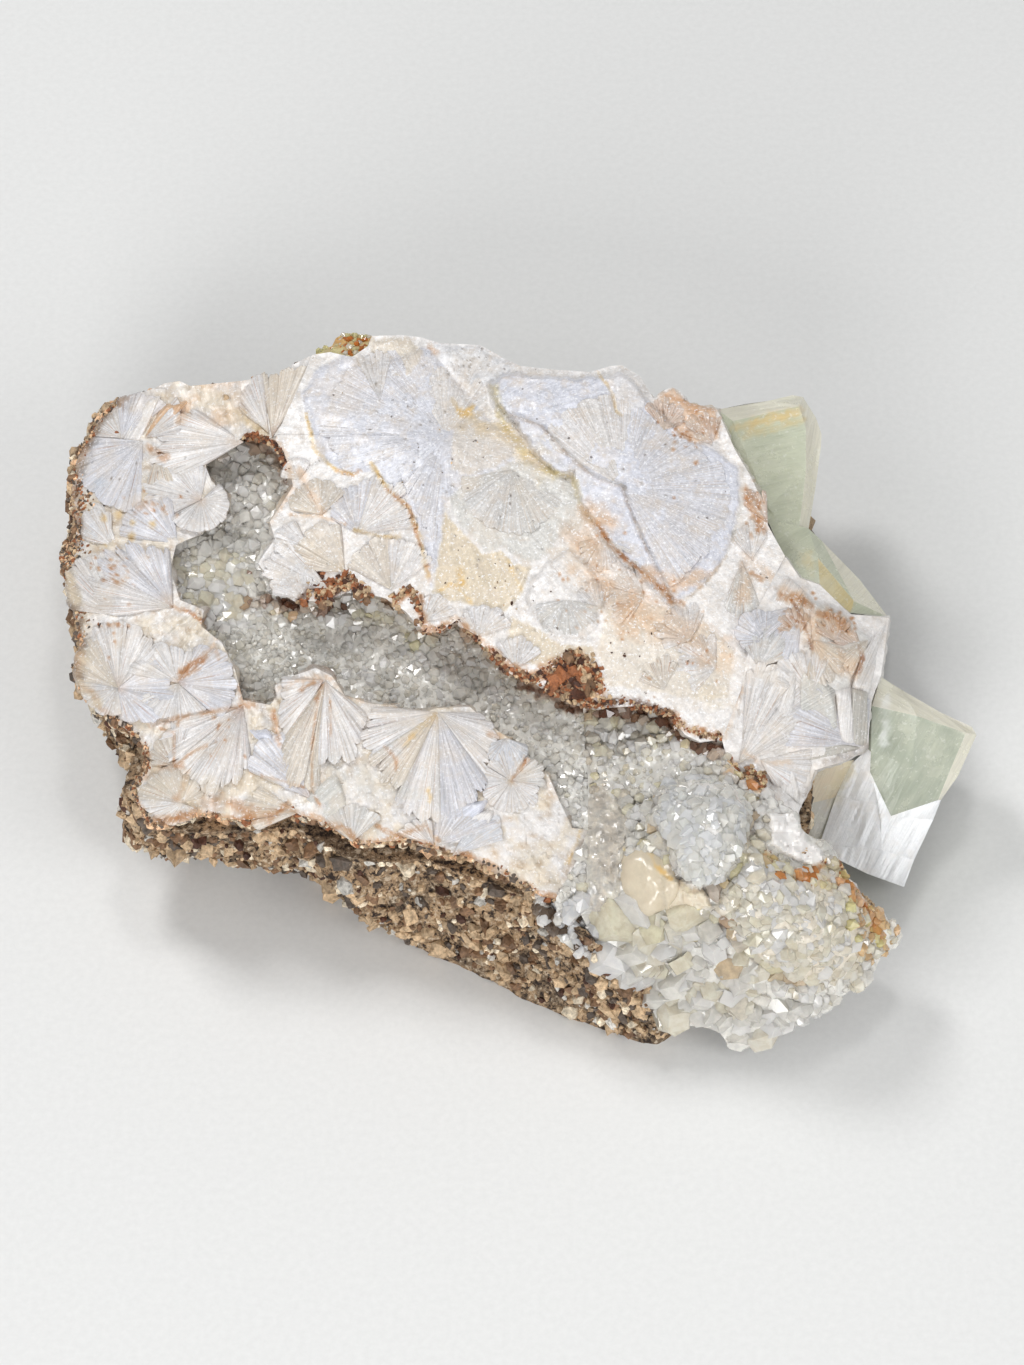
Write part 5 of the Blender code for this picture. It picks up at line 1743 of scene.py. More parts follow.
BLOCK_SPRAYS = forms(
    Spray,
    "803,604 196 262 48,62,66,60 7 .7 lilac .1 .08 peach",
    "812,640 262 350 46,52,48,36 8 .9 cream .3 .1 peach",
    "758,668 20 120 40,46,34 6 .6 frost .05 .08 white",
    "862,650 110 190 24,34,40 6 .7 peach .6 .12 white",
    "868,640 190 262 24,40,48 5 .9 cream .2 .08 white",
    "738,764 24 76 60,84,92,70 7 .9 white .1 .06 cream", "800,634 60 170 22,32,30 7 .8 peach .7 .1 white",
    "836,642 50 150 22,30,24 7 .9 peach .8 .12 white",
    "742,742 18 84 110,92,84,78 6 .9 white .05 .05 cream",
    "866,746 128 178 70,82,92,80 5 1 lilac .05 .05 white",
    "812,694 60 170 34,44,48,36 6 .9 white .2 .06 peach",
    "765,640 70 200 30,34,24 5 .7 lilac .1 .06 cream", "760,760 -60 10 30,50,52 4 .8 white .1 .05 cream",
    "868,744 90 122 44,56,50 3 .8 bluish 0 .04 white",
)


@dataclass
class RightBlock(Stilbite):
    """The blocky white crystals at the right, with a prism at their right side."""

    node: str = "stilbite_right_block"
    slot: str = "white_stilbite"
    sprays: tuple[Spray, ...] = BLOCK_SPRAYS
    stains_and_shade: tuple[StainAndShade, ...] = BLOCK_STAINS_AND_SHADE
    seed: int = 300

    def crust(self) -> Crust:
        """The crust with its plates."""
        outline = joined(BLOCK_TOP, BLOCK_RIGHT, BLOCK_UNDER, DRUSE_TOP, turned(BLOCK_RIDGE))
        relief, paint = forms_of(BLOCK_TABLES, ())
        return Crust(outline, Heights(BLOCK_HEIGHTS), BED.beside_rock, self.stains_and_shade, step=1.5, seed=23,
            relief=relief, base_paint=paint, wall_tone=Tone.WHITE, grain=0.2 * MM, wall_rough=0.7 * MM)

    def build(self, pearl: Material) -> None:
        """Builds the block and its blades."""
        crust = self.crust()
        self.show("right_block", [crust.surface()], pearl)
        faces = faces_on(crust.level, BLOCK_FACES, self.stains_and_shade, 360)
        self.show("block_sprays", [*self.blades(crust), faces], pearl)


# Quartz: the channel's lining and the druse mass


CHANNEL_STAINS_AND_SHADE = (
    # Brown along the lip and dark rust just under it are painted shadow under the lip's overhang, darkest in
    # its cavities, with iron stain at the channel's top; the golden patch and the rust line are stains.
    StainAndShade(LIP[12:], 9.0, Tone.BROWN, 0.7),
    *forms(
        StainAndShade,
        "9 dark_rust .95: 248,604 270,600 296,606", "6 dark_rust .8: 300,606 320,612 345,606",
        "9 golden .7: 360,620 385,618 410,640 430,646", "9 dark_rust .9: 520,686 545,694 570,708 600,712",
        "8 dark_rust .9: 246,442 262,446 278,462 288,480", "4 rust .5: 270,612 296,616",
        "8 shadow .5: 205,466 225,455", "4 dark_rust .7: 240,570 256,576",
    ),
)

WHITE_LUMP = trace("660,790 690,772 730,782 754,806 748,850 724,884 690,892 672,868 668,840 648,820")
YELLOW_LUMP = trace(
    "724,886 752,850 790,866 838,868 866,902 872,946 850,975 800,985 760,965 734,940 712,912",
)
CREAM_PATCH = trace("660,876 690,880 706,890 714,908 690,916 664,912")
WHITE_BLADES = trace("766,812 796,812 808,836 828,858 826,874 796,862 770,846")

DRUSE_OUTLINE = joined(LIP_RIGHT, turned(DRUSE_TOP), DRUSE_OUTER, turned(LEDGE_BELOW), turned(LEDGE_ABOVE))

DRUSE_STAINS_AND_SHADE = (
    *forms(
        StainAndShade,
        # Dark rust under the lip's right part is painted shadow under the lip.
        "11 dark_rust .95: 590,712 640,714 670,724 690,744 722,750",
        "10 shadow .4: 586,720 590,760 600,790", "34 shadow .28 .2: 606,806 606,850 600,905",
    ),
    # Painted shade in the grooves round the lumps: shadow along their outlines, and golden along the top of
    # the yellow lump.
    StainAndShade((*WHITE_LUMP[3:], *WHITE_LUMP[:1]), 7.0, Tone.SHADOW, 0.45),
    StainAndShade(YELLOW_LUMP[7:], 8.0, Tone.SHADOW, 0.45),
    StainAndShade(YELLOW_LUMP[:4], 7.0, Tone.GOLDEN, 0.5),
    *forms(
        StainAndShade,
        "8 shadow .3: 640,930 700,925 724,950 740,1000", "3 yellow .5: 625,850 650,842 664,848",
        "3.5 yellow .85: 648,848 656,866 672,880", "3.5 yellow .8: 670,912 700,912",
        "8 rust .7: 725,770 745,782 770,790", "6 rust .8: 765,850 775,875 800,880 830,862",
        "8 rust .6: 800,878 830,886", "7 rust .7: 841,880 866,905 880,940",
        "7 dark_rust .8: 724,922 728,928", "16 white .8: 770,800 790,840 800,860",
        "16 bluish .5: 585,900 600,940 620,972", "8 grey .4: 650,1020 700,1024 745,1044",
    ),
)

DRUSE_TABLES = (Table(((582, 800), (604, 792), (626, 806), (634, 836), (622, 862), (622, 900),
    (612, 930), (594, 930), (584, 905), (586, 862)), 0.6, Tone.GREY, 0.9, 6.0, 0.5, 20.0),
    Table(CREAM_PATCH, 1.2, Tone.CREAM, 0.95, 4.0), Table(WHITE_LUMP, 1.4, Tone.WHITE, 0.7, 10.0, 2.2,
    40.0), Table(YELLOW_LUMP, 1.2, Tone.CREAM, 0.6, 10.0, 2.2, 50.0),
    Table(WHITE_BLADES, 0.9, Tone.WHITE, 0.9, 4.0),)


@dataclass(frozen=True)
class Zone:
    """A patch of quartz points of one kind: spacing in pixels, radius in mm, and tones."""

    outline: Pixels
    spacing: float
    radius: float
    tones: tuple[Tone, ...]
    lean: float = 0.4
    stretch: float = 1.0


@dataclass
class QuartzDruse:
    """A crust of quartz covered with small clear points."""

    node: str
    slot: str
    title: str
    outline: Pixels
    heights: Heights
    foot: Field
    stains_and_shade: tuple[StainAndShade, ...]
    seed: int
    zones: tuple[Zone, ...]
    tables: tuple[Table, ...] = ()
    bare: tuple[Pixels, ...] = ()
    lumpy: float = 0.5 * MM

    def crust(self) -> Crust:
        """The bed that the points stand on, with its lumps."""
        relief, paint = forms_of(self.tables, ())

        def lumpy(spots: Array) -> Array:
            """The plates and domes, and knobs between them."""
            return relief(spots) + np.abs(rough(spots, 34.0, self.seed + 7, 2)) * self.lumpy

        return Crust(self.outline, self.heights, self.foot, self.stains_and_shade, Tone.FROST, Tone.FROST,
            step=2.0, grain=0.5 * MM, swell=0.3 * MM, seed=self.seed, relief=lumpy, base_paint=paint)

    def points(self, crust: Crust) -> Surface:
        """Quartz points at jittered places, zone by zone, each kept off the ones before it."""
        parts = []
        taken = list(self.bare)
        for index, zone in enumerate(self.zones):
            seed = self.seed + 10 * index
            spots = jittered(zone.outline, zone.spacing, seed)
            spots = spots[inside(spots, self.outline)]
            for outline in taken:
                spots = spots[~inside(spots, outline)]
            taken.append(zone.outline)
            chance = np.random.default_rng(seed + 1)
            swell = 1.0 + 0.4 * rough(spots, 60.0, seed + 2, 2)
            sizes = zone.radius * MM * swell * chance.uniform(0.6, 1.35, len(spots))
            tones = picked(zone.tones, (1.0,) * len(zone.tones), len(spots), chance)
            tones = painted(spots, tones, self.stains_and_shade)
            parts.append(quartz_points(VIEW.seen(spots, crust.level(spots)), facing(spots, crust.level),
                sizes, tones, zone.lean, seed + 3, zone.stretch))
        return together(parts)

    def build(self, bed: Material, clear: Material) -> None:
        """Builds the bed and its points."""
        crust = self.crust()
        piece(self.title + "_bed", crust.surface(), bed, self.node, 20.0)
        piece(self.title + "_points", self.points(crust), clear, self.node)


def channel_druse() -> QuartzDruse:
    """The druse that lines the channel."""
    outline = joined(LIP, LEDGE_ABOVE, turned(BANK))
    zones = (Zone(trace("200,440 300,430 300,530 240,540 196,530"), 10.0, 1.25,
        (Tone.FROST, Tone.WHITE, Tone.GREY), 0.5),
        Zone(trace("165,560 246,552 250,628 200,640 165,620"), 8.5, 1.05, (Tone.CREAM, Tone.WHITE),
        0.3, 0.5), Zone(trace("215,630 345,625 340,710 215,710"), 5.4, 0.6, (Tone.GREY, Tone.FROST)),
        Zone(outline, 7.4, 0.88, (Tone.FROST, Tone.WHITE, Tone.GREY, Tone.FROST)),)
    return QuartzDruse("quartz_channel_crust", "grey_quartz", "channel", outline,
        Heights(CHANNEL_HEIGHTS), BED.on_rock, CHANNEL_STAINS_AND_SHADE, 41, zones)


def hanging_druse() -> QuartzDruse:
    """The lumpy druse that hangs over the rock's front."""
    turns = np.linspace(0.0, 2.0 * math.pi, 13)[:-1]
    nodule = tuple((NODULE_CENTRE[0] + NODULE_BARE[0] * math.cos(turn),
        NODULE_CENTRE[1] + NODULE_BARE[1] * math.sin(turn)) for turn in turns)
    zones = (Zone(trace("836,872 860,880 905,925 895,950 868,965 850,930"), 6.2, 0.8,
        (Tone.TAN, Tone.GOLDEN, Tone.CREAM, Tone.GREY)), Zone(WHITE_LUMP, 6.4, 1.0,
        (Tone.IVORY, Tone.PEARL, Tone.IVORY), 0.3, 0.4), Zone(YELLOW_LUMP, 7.2, 1.1,
        (Tone.CREAM, Tone.WHITE, Tone.CREAM), 0.3, 0.4),
        Zone(trace("624,905 700,910 740,935 790,985 790,1040 740,1055 640,1035 600,980"), 13.0, 2.2,
        (Tone.FROST, Tone.WHITE, Tone.CREAM), 0.45, 0.35),
        Zone(trace("560,900 620,900 640,985 600,980"), 9.0, 1.2, (Tone.BLUISH, Tone.FROST)),
        Zone(trace("585,700 760,700 760,800 585,800"), 8.0, 1.0, (Tone.CREAM, Tone.GREY, Tone.WHITE)),
        Zone(DRUSE_OUTLINE, 8.0, 1.0, (Tone.FROST, Tone.WHITE, Tone.CREAM, Tone.FROST)),)
    return QuartzDruse("quartz_druse_mass", "grey_quartz", "druse", DRUSE_OUTLINE,
        Heights(DRUSE_HEIGHTS), BED.on_seat, DRUSE_STAINS_AND_SHADE, 51, zones, DRUSE_TABLES,
        (nodule, DRUSE_TABLES[0].outline, WHITE_BLADES, CREAM_PATCH), 1.1 * MM)


@dataclass
class Nodule:
    """The smooth cream nodule in the druse: a dome over an oval, higher at its middle."""

    centre: tuple[float, float] = (648.0, 882.0)
    radii: tuple[float, float] = (28.0, 37.0)
    rise: float = 2.4 * MM
    node: str = "quartz_druse_mass"
    slot: str = "grey_quartz"

    def build(self, crust: Crust, finish: Material) -> None:
        """Builds the dome: its height falls with the square root of one less radius squared."""
        shares = np.sin(np.linspace(0.0, 1.0, 22) * math.pi / 2.0)
        turns = np.linspace(0.0, 2.0 * math.pi, 72, endpoint=False)
        wobble = 1.0 + 0.09 * np.sin(turns * 2.0 + 0.6) + 0.08 * np.sin(turns * 3.0 + 2.0)
        radius = shares[:, None] * wobble[None]
        spots = beside(self.centre[0] + radius * self.radii[0] * np.cos(turns),
            self.centre[1] + radius * self.radii[1] * np.sin(turns))
        flat = spots.reshape(-1, 2)
        dome = np.sqrt(np.clip(1.0 - (shares * 0.995) ** 2, 0.0, 1.0))
        heights = crust.level(flat) + np.repeat(dome, 72) * self.rise - 0.3 * MM
        heights += rough(flat, 16.0, 5, 3) * 0.2 * MM
        tint = painted(flat, np.tile(Tone.WAX.light(), (len(flat), 1)), DRUSE_STAINS_AND_SHADE)
        faces = grid_faces(22, 72, closed=True)[:, ::-1]
        surface = Surface.of(VIEW.seen(flat, heights), faces, tint)
        piece("cream_nodule", surface, finish, self.node, 60.0)


# The green crystals


@dataclass(frozen=True)
class Crystal:
    """A faceted crystal: corners named by letters, those of its rim first, and flat faces."""

    name: str
    foot: Field
    rim: int
    corners: Pixels
    faces: tuple[str, ...]

    def facets(self) -> list[Facet]:
        """Its faces: in each text the letters of the corners, the tone, the grain and the ripple."""
        letters = dict(zip(ascii_letters, self.corners))
        split = [text.split(" ", 1) for text in self.faces]
        return [Facet(tuple(letters[letter] for letter in word), *read(rest)) for word, rest in split]


GREEN_CRYSTALS = (
    Crystal("green_crystal_top", BED.beside_rock, 14, trace(
        "717.5,409.5,38.5 745,404,38.4 770,400.5,38.4 792,395,37.8 803,397,36.8 816,418,36 821.5,434,35.2",
        "821,447,34.8 815,491,33 808,532,31.6 796,533,32 768,524,33.6 750,476,36.5 735,450,37.6",
        "799,406,38.6 733,421,39.2 806,429,37.8 750,462,37.6 806,469,35.6 768,508,34.8 799,531,32.4",
        "784,527,33",
    ), (
        "acop pale_edge 8", "cdeo pale_edge 8", "poqr green 12 .16", "rqst green 12 .16",
        "tsuv green 12 .16", "oefq pale_edge 80", "qfgs pale_edge 80", "sghi pale_edge 80",
        "siju pale_edge 80", "aprn green 60", "nrtm green 60", "mtvl green 60", "lvuk green 60",
        "kuj green 60",
    )),
    Crystal("green_crystal_middle", BED.beside_rock, 10, trace(
        "767,519,34.2 808,528,33.2 822,541,32.4 860,580,31.2 888,617,30.2 850,613,33.6 820,588,34.6",
        "798,582,34.8 782,560,35 776,540,34.6 818,558,35.2 854,601,33.4",
    ), (
        "abkj green 30", "bclk green 45", "cdel pale_edge 45", "jkhi green 35", "kgh green 35",
        "klfg golden 48", "lef green 30",
    )),
    Crystal("green_crystal_right", BED.on_keel, 17, trace(
        "881,677,29.6 902,690,28 940,712,25.6 972,727,22.8 976.5,735,21.3 958,776,16.6 941,800,13.4",
        "933,820,13 914,860,11 904,887,9.2 868,874,10.6 841,861,11.6 820,843,12.6 836,796,15.6",
        "851,764,19.8 868,749,23.2 871,704,27.2 917,716,27.6 872,706,28 966,733,23.6 912,765,21.8",
        "871,752,24 950,770,18.6 891,816,15 870,772,20.6 938,800,14.4 882,850,12.6 879,806,16.2",
        "812,766,21.5 854,760,20.4 837,797,15.2 799,806,18 821,843,12.2 800,834,13",
    ), (
        "abrs pale_edge -30", "bctr pale_edge -30", "cdet pale_edge -30", "sruv sage 60 .14",
        "rtwu sage 60 .14", "vuxy sage 60 .14", "uwzx sage 60 .14", "tefw pale_edge 60",
        "wfgz pale_edge 60", "zghx pearl 60", "xhiA pearl 60 .2", "Aijk pearl 60 .2", "oyBn pearl 66 .2",
        "nBAm pearl 66 .2", "ByxA pearl 66 .2", "mAkl pearl 66 .2", "pvyo pearl 66", "qsvp sage 66",
        "asq pale_edge 66", "CDEF cream 66", "FEGH grey 66",
    )),
)

GREEN_STAINS_AND_SHADE = forms(
    StainAndShade,
    "9 yellow .6: 738,428 770,418 800,412", "6 golden .8: 745,436 775,428 802,420",
    "12 golden .8: 806,560 814,568", "8 golden .8: 830,590 848,605",
    "6 pale_edge .8: 884,690 930,715 966,732", "8 pearl .6: 886,700 884,745",
    # Golden on the bevel below the block, which lies in shade, is partly painted shade.
    "12 golden .4: 830,800 850,768",
)


@dataclass
class GreenCrystals:
    """Three pale green blocky crystals: flat faces with pale edges, and sides down to their feet."""

    slot: str = "green_heulandite"
    crystals: tuple[Crystal, ...] = GREEN_CRYSTALS

    def build(self, green: Material) -> None:
        """Builds each crystal: its sides and faces, and its pearly faces in their own finish."""
        shown = PearlFinish("pearly_face", (0.2, 0.35), 0.1, 0.35, 0.6, 0.0, 0.95, 0.0, 0.86, 0.1).make()
        for crystal in self.crystals:
            sides = skirt(crystal.corners[:crystal.rim], crystal.foot, Tone.GREEN, (), 77)
            kinds = {True: [], False: [sides]}
            for index, face in enumerate(crystal.facets()):
                kinds[face.tone is Tone.PEARL].append(face.surface(GREEN_STAINS_AND_SHADE, 60 + index))
            name = crystal.name
            piece(name + "_faces", together(kinds[False]), green, name, 12.0)
            if kinds[True]:
                piece(name + "_luster", together(kinds[True]), shown, name, 12.0)


# The rock


ROCK_RIM_MM = trace(
    "-59,-29 -62,-22 -62,-12 -67,-4 -70,6 -71.5,16 -74.6,26 -73.6,33 -74.9,41 -70,51 -62,56.5 -42,57.5",
    "-20,58.5 2,58 24,56 40,50 48,38 48.5,20 48,2 48,-14 47,-28 42,-38 33,-46 23.5,-51 14,-51 6,-45.3",
    "-2,-40.2 -12,-36.6 -25,-35 -34.7,-29.5 -40,-30.2 -51,-29.8",
)
ROCK_FOOT_MM = trace(
    "-52.7,-17 -56,-12 -58,-6 -60,2 -61,10 -62,18 -64,26 -64,32 -63,39 -58,46 -50,51 -36,53 -18,54 2,53",
    "20,51 34,45 42,34 44,18 45,2 45,-14 44,-26 40,-38 32,-48 23.5,-56.2 16,-54.2 8,-51 -2,-45.8 -12,-40",
    "-18.3,-36.4 -28,-28.6 -35,-23.4 -44,-18.8",
)


def pixels_of(points: Array) -> Array:
    """Where points appear in the view."""
    away = points - VIEW.eye()
    depth = away @ VIEW.forward()
    return beside(VIEW.width / 2.0 + away[:, 0] / depth * VIEW.focal,
        VIEW.height / 2.0 - away @ VIEW.upward() / depth * VIEW.focal)


@dataclass
class Rock:
    """The basalt: a loft from its rim to its foot, lumpy and pitted, with a seat for the druse."""

    node: str = "matrix_rock"
    slot: str = "basalt"
    top: float = 22.0 * MM
    ledge: float = 1.3 * MM
    stations: int = 620
    side_rows: int = 96
    top_rows: int = 14
    levels: tuple[float, ...] = (0.0, 0.12, 0.28, 0.42, 0.5, 0.62, 0.76, 0.9, 1.0)
    ledges: tuple[float, ...] = (0.0, 0.0, -0.3, 0.2, 1.0, 0.5, 0.2, 0.0, 0.0)

    def ring(self, corners: Pixels) -> Array:
        """A closed smooth ring through its corners: a Catmull-Rom curve at even steps."""
        ring = np.array(corners, float) * MM + np.array(VIEW.aim[:2])
        steps = np.arange(self.stations) * len(ring) / self.stations
        index = np.floor(steps).astype(int)
        part = (steps - index)[:, None]
        before, start, end, after = (ring[(index + shift) % len(ring)] for shift in (-1, 0, 1, 2))
        return 0.5 * (2.0 * start + (end - before) * part + (2.0 * before - 5.0 * start + 4.0 * end
            - after) * part ** 2 + (3.0 * start - before - 3.0 * end + after) * part ** 3)

    def points(self) -> Array:
        """The grid: rows in from the middle of the top to the rim, then down the side.

        The plan at a level is the rim plus the way to the foot times the square of what has
        been gone down, pushed out by the ledge and by noise of four sizes.
        """
        rim, foot = self.ring(ROCK_RIM_MM), self.ring(ROCK_FOOT_MM)
        outward = rim - rim.mean(axis=0)
        outward /= np.linalg.norm(outward, axis=1, keepdims=True)
        rows = []
        for share in np.linspace(0.02, 0.97, self.top_rows):
            plan = rim.mean(axis=0) + (rim - rim.mean(axis=0)) * share
            rows.append(np.c_[plan, np.full(self.stations, self.top)])
        for level in np.linspace(1.0, 0.0, self.side_rows):
            plan = rim + (foot - rim) * (1.0 - level) ** 2
            place = np.c_[plan, np.full(self.stations, level * self.top)]
            ledge = np.interp(level, self.levels, self.ledges) * self.ledge
            bulge = rough(place / MM, 8.0, 71, 2) * 2.0
            crumbs = np.abs(rough(place / MM, 3.2, 75, 4)) * 1.5 - 0.4
            pits = np.minimum(rough(place / MM * (1.0, 1.0, 1.6), 2.2, 79, 3), 0.1) * 0.9
            hold = math.sqrt(math.sin(math.pi * np.clip(level, 0.04, 0.94)))
            push = ledge + (bulge + crumbs + pits) * hold * MM
            rows.append(np.c_[plan + outward * push[:, None], place[:, 2]])
        points = np.vstack(rows)
        at_x, at_y, at_z, slope_x, slope_y = BED.seat
        seat = at_z + slope_x * (points[:, 0] - at_x) + slope_y * (points[:, 1] - at_y) - 0.5 * MM
        under = inside(pixels_of(points), DRUSE_OUTLINE) & (points[:, 2] > seat)
        points[under, 2] = seat[under]
        return points

    def build(self, finish: Material, crumbs: Material) -> None:
        """Builds the rock and the small crystals and crumbs stuck on its side."""
        points = self.points()
        total = self.top_rows + self.side_rows
        faces = grid_faces(total, self.stations, closed=True)
        centre = np.r_[points[:self.stations, :2].mean(axis=0), self.top]
        under = np.r_[points[-self.stations:, :2].mean(axis=0), 0.0]
        count = len(points)
        station = np.arange(self.stations)
        after = (station + 1) % self.stations
        last = (total - 1) * self.stations
        lid = beside(station, after, np.full(self.stations, count), station)
        base = beside(last + after, last + station, np.full(self.stations, count + 1), last + after)
        points = np.vstack([points, centre, under])
        tone = rough(points / MM, 5.0, 83, 4)[:, None]
        tint = linear(120, 100, 78) * (1.0 + 0.3 * tone)
        faces = np.vstack([faces, lid[:, ::-1], base[:, ::-1]])
        piece("rock", Surface.of(points, faces, tint), finish, self.node, 50.0)
        chance = np.random.default_rng(87)
        side = np.arange((self.top_rows + 3) * self.stations, last - 4 * self.stations)
        chosen = chance.choice(side, 5400, replace=False)
        sizes = np.minimum(chance.gamma(1.8, 0.25, len(chosen)) + 0.18, 1.9) * MM
        tones = picked((Tone.TAN, Tone.BROWN, Tone.SHADOW, Tone.CREAM, Tone.DARK_RUST, Tone.GREY),
            (0.46, 0.2, 0.12, 0.1, 0.06, 0.06), len(chosen), chance, 0.22)
        piece("rock_crumbs", lumps(points[chosen], sizes, tones, 89), crumbs, self.node)


# The brown knob, the crumbs and the small druse in the corner


@dataclass
class Details:
    """The brown quartz knob at the rear, the crumbs round the crusts, and the corner's small druse."""

    def knob(self, bed: Material, clear: Material) -> None:
        """Builds the knob: a small crust with brown points."""
        outline = trace("312,355 322,350 332,346 336,338 345,333 356,334 372,336 368,346 352,357 330,352")
        stains_and_shade = forms(StainAndShade, "14 rust .5: 336,340 352,345 368,340")
        crust = Crust(outline, Heights(KNOB_HEIGHTS), BED.on_rock, stains_and_shade, Tone.GOLDEN, Tone.CREAM,
            step=1.4, grain=0.6 * MM, seed=61)
        piece("knob_bed", crust.surface(), bed, "rear_quartz_knob", 20.0)
        spots = jittered(outline, 4.6, 62)
        chance = np.random.default_rng(63)
        sizes = chance.uniform(0.35, 0.7, len(spots)) * MM
        tones = picked((Tone.RUST, Tone.GOLDEN, Tone.CREAM), (0.35, 0.4, 0.25), len(spots), chance)
        points = quartz_points(VIEW.seen(spots, crust.level(spots)), facing(spots, crust.level), sizes,
            tones, 0.5, 64)
        piece("knob_points", points, clear, "rear_quartz_knob")

    def lip_crumbs(self, plate: Crust, finish: Material) -> None:
        """Builds crumbs along the lip: jagged lumps of iron oxide."""
        bands = forms(
            Band,
            "5 110 .7: 303,602 308,584 316,570 321,600", "7 190 .75: 320,600 334,586 352,580 368,596",
            "4 110 .6: 394,604 400,594 412,590 418,604 422,628",
            "3 100 .45: 425,632 440,630 457,619 470,634 490,651", "4 110 .55: 490,651 510,672 540,682",
            "7 420 .6: 545,676 560,664 575,656 590,668 598,688",
            "11 420 .55: 552,690 566,678 580,676 596,694", "8 30 1.7: 556,682 572,668 588,680 578,692",
            "4 170 .55: 560,690 585,704 624,702 670,714", "3 90 .45: 670,714 688,732 722,738",
        )
        tones = (Tone.IRON, Tone.DARK_RUST, Tone.TAN, Tone.BROWN, Tone.IRON, Tone.TAN)
        arch = forms(Band, "3 130 .5: 246,437 258,437 272,442 282,458 290,474")
        dots = forms(
            Band, "30 90 .22: 350,390 350,440 420,400 410,480 490,430", "30 50 .22: 470,560 560,620 650,650",
        )
        crumbs = (
            crumb_bands(plate.level, bands, tones, 65),
            crumb_bands(plate.level, arch, tones[:5], 73),
            crumb_bands(plate.level, dots, tones[1:3], 77, plate.outline),
        )
        piece("lip_crumbs", together(crumbs), finish, "stilbite_upper_plate")

    def druse_crumbs(self, druse: Crust, finish: Material) -> None:
        """Builds the rusty frames round the white blades of the druse."""
        bands = forms(
            Band,
            "5 130 .5: 724,745 728,764 745,782 752,770", "4 90 .5: 756,764 764,778 760,800",
            "4 130 .5: 754,846 768,852 778,872 800,878", "3.5 130 .45: 800,850 814,862 838,862 846,882",
            "5 160 .45: 845,886 868,903 876,925 870,955", "6 40 .5: 724,918 730,930",
        )
        tones = (Tone.IRON, Tone.TAN, Tone.BROWN, Tone.TAN, Tone.GOLDEN)
        piece("druse_crumbs", crumb_bands(druse.level, bands, tones, 75), finish,
              "quartz_druse_mass")

    def rim_crumbs(self, left: Crust, crust: Surface, finish: Material) -> None:
        """Builds basalt crumbs round the left crust: on its outer rim and down its outer walls."""
        bands = (Band(LEFT_END[11:], 20.0, 2200, 0.5), Band(LEFT_END[:11], 4.0, 400, 0.4),
            Band(FRONT_RIM[:-1], 3.0, 500, 0.4), Band(trace("226,398 229,398"), 1.0, 4, 0.8))
        tones = (Tone.TAN, Tone.BROWN, Tone.SHADOW, Tone.PEACH, Tone.IRON)
        on_rim = crumb_bands(left.level, bands, tones, 67, left.outline)
        chance = np.random.default_rng(68)
        walls = crust.points[left.seam:]
        drop = np.repeat(np.arange(1, left.wall_rows + 1), len(walls) // left.wall_rows)
        outer = nearest_on(pixels_of(walls), (*FRONT_RIM, *LEFT_END, *LEFT_REAR[:-1]))[1] < 34.0
        outer &= nearest_on(pixels_of(walls), BANK[:-2])[1] > 26.0
        for bare in ("60,545 66,572 78,604", "84,655 80,682 96,702"):
            outer &= (nearest_on(pixels_of(walls), trace(bare))[1] > 12.0) | (drop > 5)
        weight = outer * (drop - 0.5)
        chosen = chance.choice(len(walls), 3300, replace=False, p=weight / weight.sum())
        sizes = chance.gamma(3.0, 0.11, len(chosen)) * MM + 0.2 * MM
        colours = picked((*tones, Tone.CREAM), (0.35, 0.2, 0.15, 0.15, 0.1, 0.1), len(chosen), chance,
            0.25)
        on_walls = lumps(walls[chosen], sizes, colours, 69)
        piece("rim_crumbs", together((on_rim, on_walls)), finish, "stilbite_left_sprays")

    def infill(self, bed: Material, clear: Material) -> None:
        """Builds the small druse in the corner between the left crust, the rock and the mass."""
        outline = trace("546,886 562,884 590,902 606,946 600,962 570,948 548,928 534,905")
        heights = Heights(trace("550,888,24 600,952,17.5 560,938,21 590,905,22"))
        zone = Zone(outline, 8.0, 1.0, (Tone.WHITE, Tone.BLUISH, Tone.SHADOW), 0.5)
        QuartzDruse("quartz_druse_mass", "grey_quartz", "corner", outline, heights, BED.on_seat, (), 95,
            (zone,)).build(bed, clear)


# Light, floor and camera


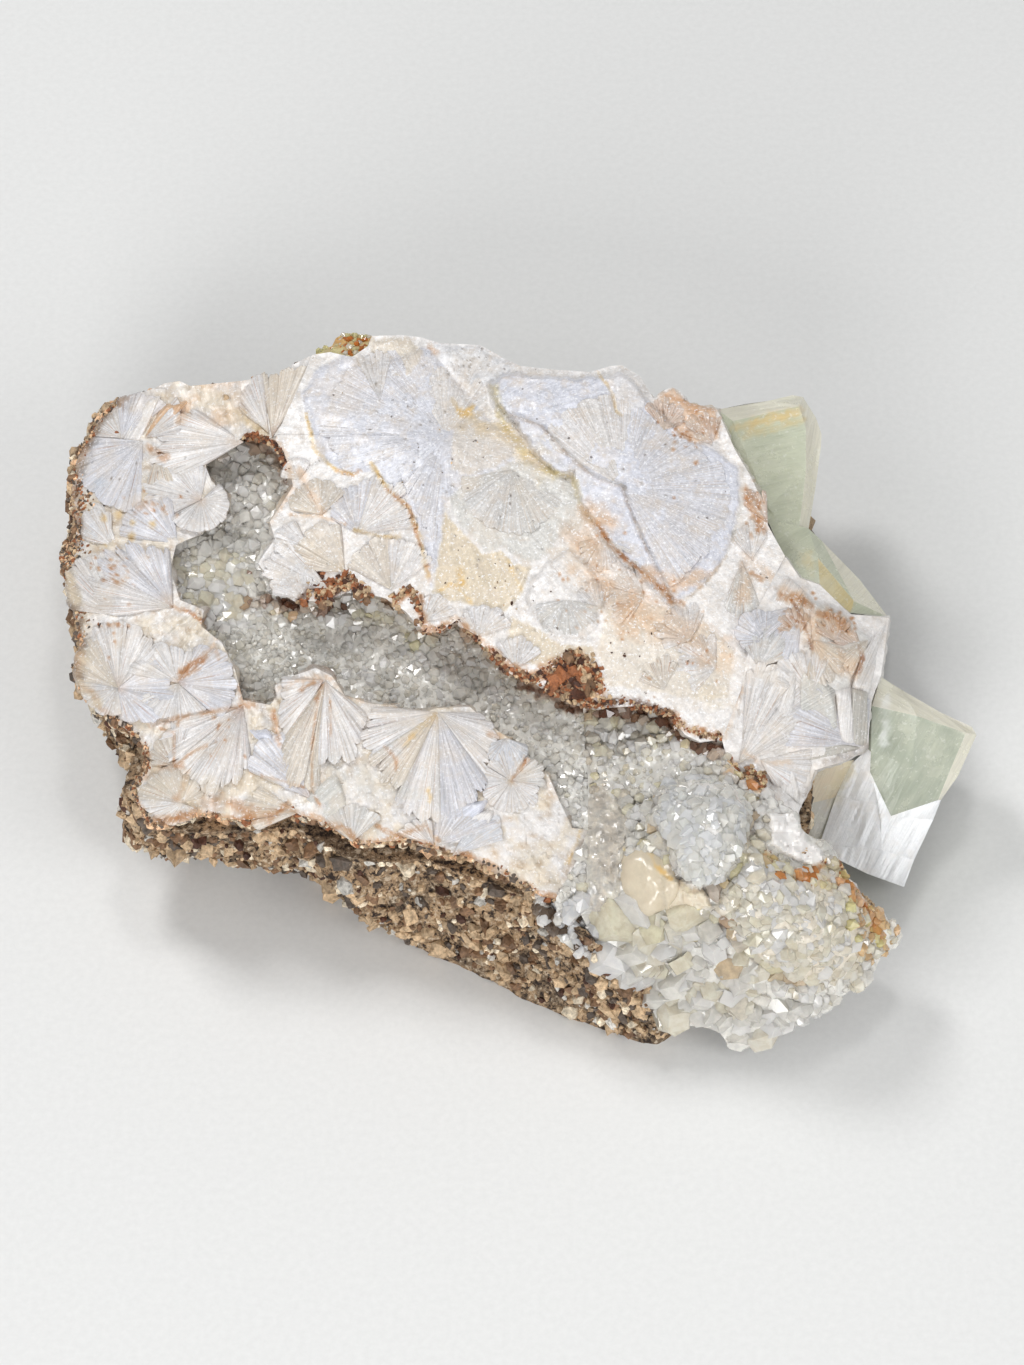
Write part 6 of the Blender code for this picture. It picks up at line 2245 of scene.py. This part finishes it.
@dataclass
class Studio:
    """A plain pale floor, large soft lights, and a camera at the view that was read."""

    floor_size: float = 6.0
    lights: dict[str, tuple] = field(default_factory=lambda: {
        "key": ((-0.4, 0.4, 0.75), 0.25, 3.5),
        "fill": ((0.6, -0.4, 0.5), 0.5, 2.4),
        "front": ((-0.2, -0.8, 0.4), 0.4, 5.0),
        "sparkle": ((0.05, 0.2, 0.8), 0.12, 0.8),
    })

    def floor(self) -> None:
        """Builds the floor."""
        half = self.floor_size / 2.0
        mesh = bpy.data.meshes.new("floor")
        mesh.from_pydata([(-half, -half, 0.0), (half, -half, 0.0), (half, half, 0.0),
            (-half, half, 0.0)], [], [(0, 1, 2, 3)])
        weave = Weave("pale_floor")
        grain = weave.noise(weave.place(), 900.0)
        weave.tint = weave.mixed(weave.spread(grain, 0.3, 0.7), (0.72, 0.72, 0.71, 1.0),
            (0.76, 0.76, 0.75, 1.0))
        mesh.materials.append(weave.done(Roughness=0.7))
        thing = bpy.data.objects.new("floor", mesh)
        bpy.context.scene.collection.objects.link(thing)

    def light(self, name: str, place: tuple[float, float, float], size: float, power: float) -> None:
        """Adds an area light that faces the specimen."""
        lamp = bpy.data.lights.new(name, "AREA")
        lamp.size = size
        lamp.energy = power
        thing = bpy.data.objects.new(name, lamp)
        thing.location = place
        toward = Vector((0.0, 0.0, 0.02)) - Vector(place)
        thing.rotation_euler = toward.to_track_quat("-Z", "Y").to_euler()
        bpy.context.scene.collection.objects.link(thing)

    def build(self) -> None:
        """Builds the floor, the lights, the even surroundings and the camera."""
        self.floor()
        for name, light in self.lights.items():
            self.light(name, *light)
        world = bpy.data.worlds.new("even_surroundings")
        world.use_nodes = True
        world.node_tree.nodes["Background"].inputs[0].default_value = (0.96, 0.98, 1.0, 1.0)
        world.node_tree.nodes["Background"].inputs[1].default_value = 0.28
        scene = bpy.context.scene
        scene.world = world
        scene.view_settings.view_transform = "Standard"
        lens = bpy.data.cameras.new("camera")
        lens.sensor_width = 36.0
        lens.lens = VIEW.focal / VIEW.height * lens.sensor_width
        lens.clip_start = 0.01
        thing = bpy.data.objects.new("camera", lens)
        thing.location = Vector(VIEW.eye())
        thing.rotation_euler = (math.pi / 2.0 - VIEW.rise, 0.0, 0.0)
        scene.collection.objects.link(thing)
        scene.camera = thing


def main() -> None:
    """Builds the specimen's sub-assemblies in order, then the studio."""
    logging.basicConfig(level=logging.INFO, format="%(message)s")
    pearl = PearlFinish().make()
    sugary = PearlFinish("pearl_plate", mottle=0.5, sugar=0.76, dots=0.85, painted_rib_shade=0.82, glint=0.65).make()
    clear = QuartzFinish().make()
    bed = QuartzFinish("milky_quartz", 0.1, 0.2, 0.4, (0.0, 0.45)).make()
    green = GreenFinish().make()
    crumb = CrumbFinish().make()
    left = LeftSprays()
    plate = UpperPlate()
    left.build(pearl, crumb)
    plate.build(sugary)
    RightBlock().build(pearl)
    channel_druse().build(bed, clear)
    druse = hanging_druse()
    druse.build(bed, clear)
    waxy = PearlFinish("waxy_nodule", (0.18, 0.3), 0.3, 0.02, 0.4, 0.12, 0.97, 0.0, 0.97, 0.0).make()
    Nodule().build(druse.crust(), waxy)
    GreenCrystals().build(green)
    Rock().build(RockFinish().make(), crumb)
    details = Details()
    details.knob(bed, clear)
    details.infill(bed, clear)
    details.druse_crumbs(druse.crust(), crumb)
    details.lip_crumbs(plate.crust(), crumb)
    Studio().build()
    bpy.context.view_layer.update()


if __name__ == "__main__":
    main()
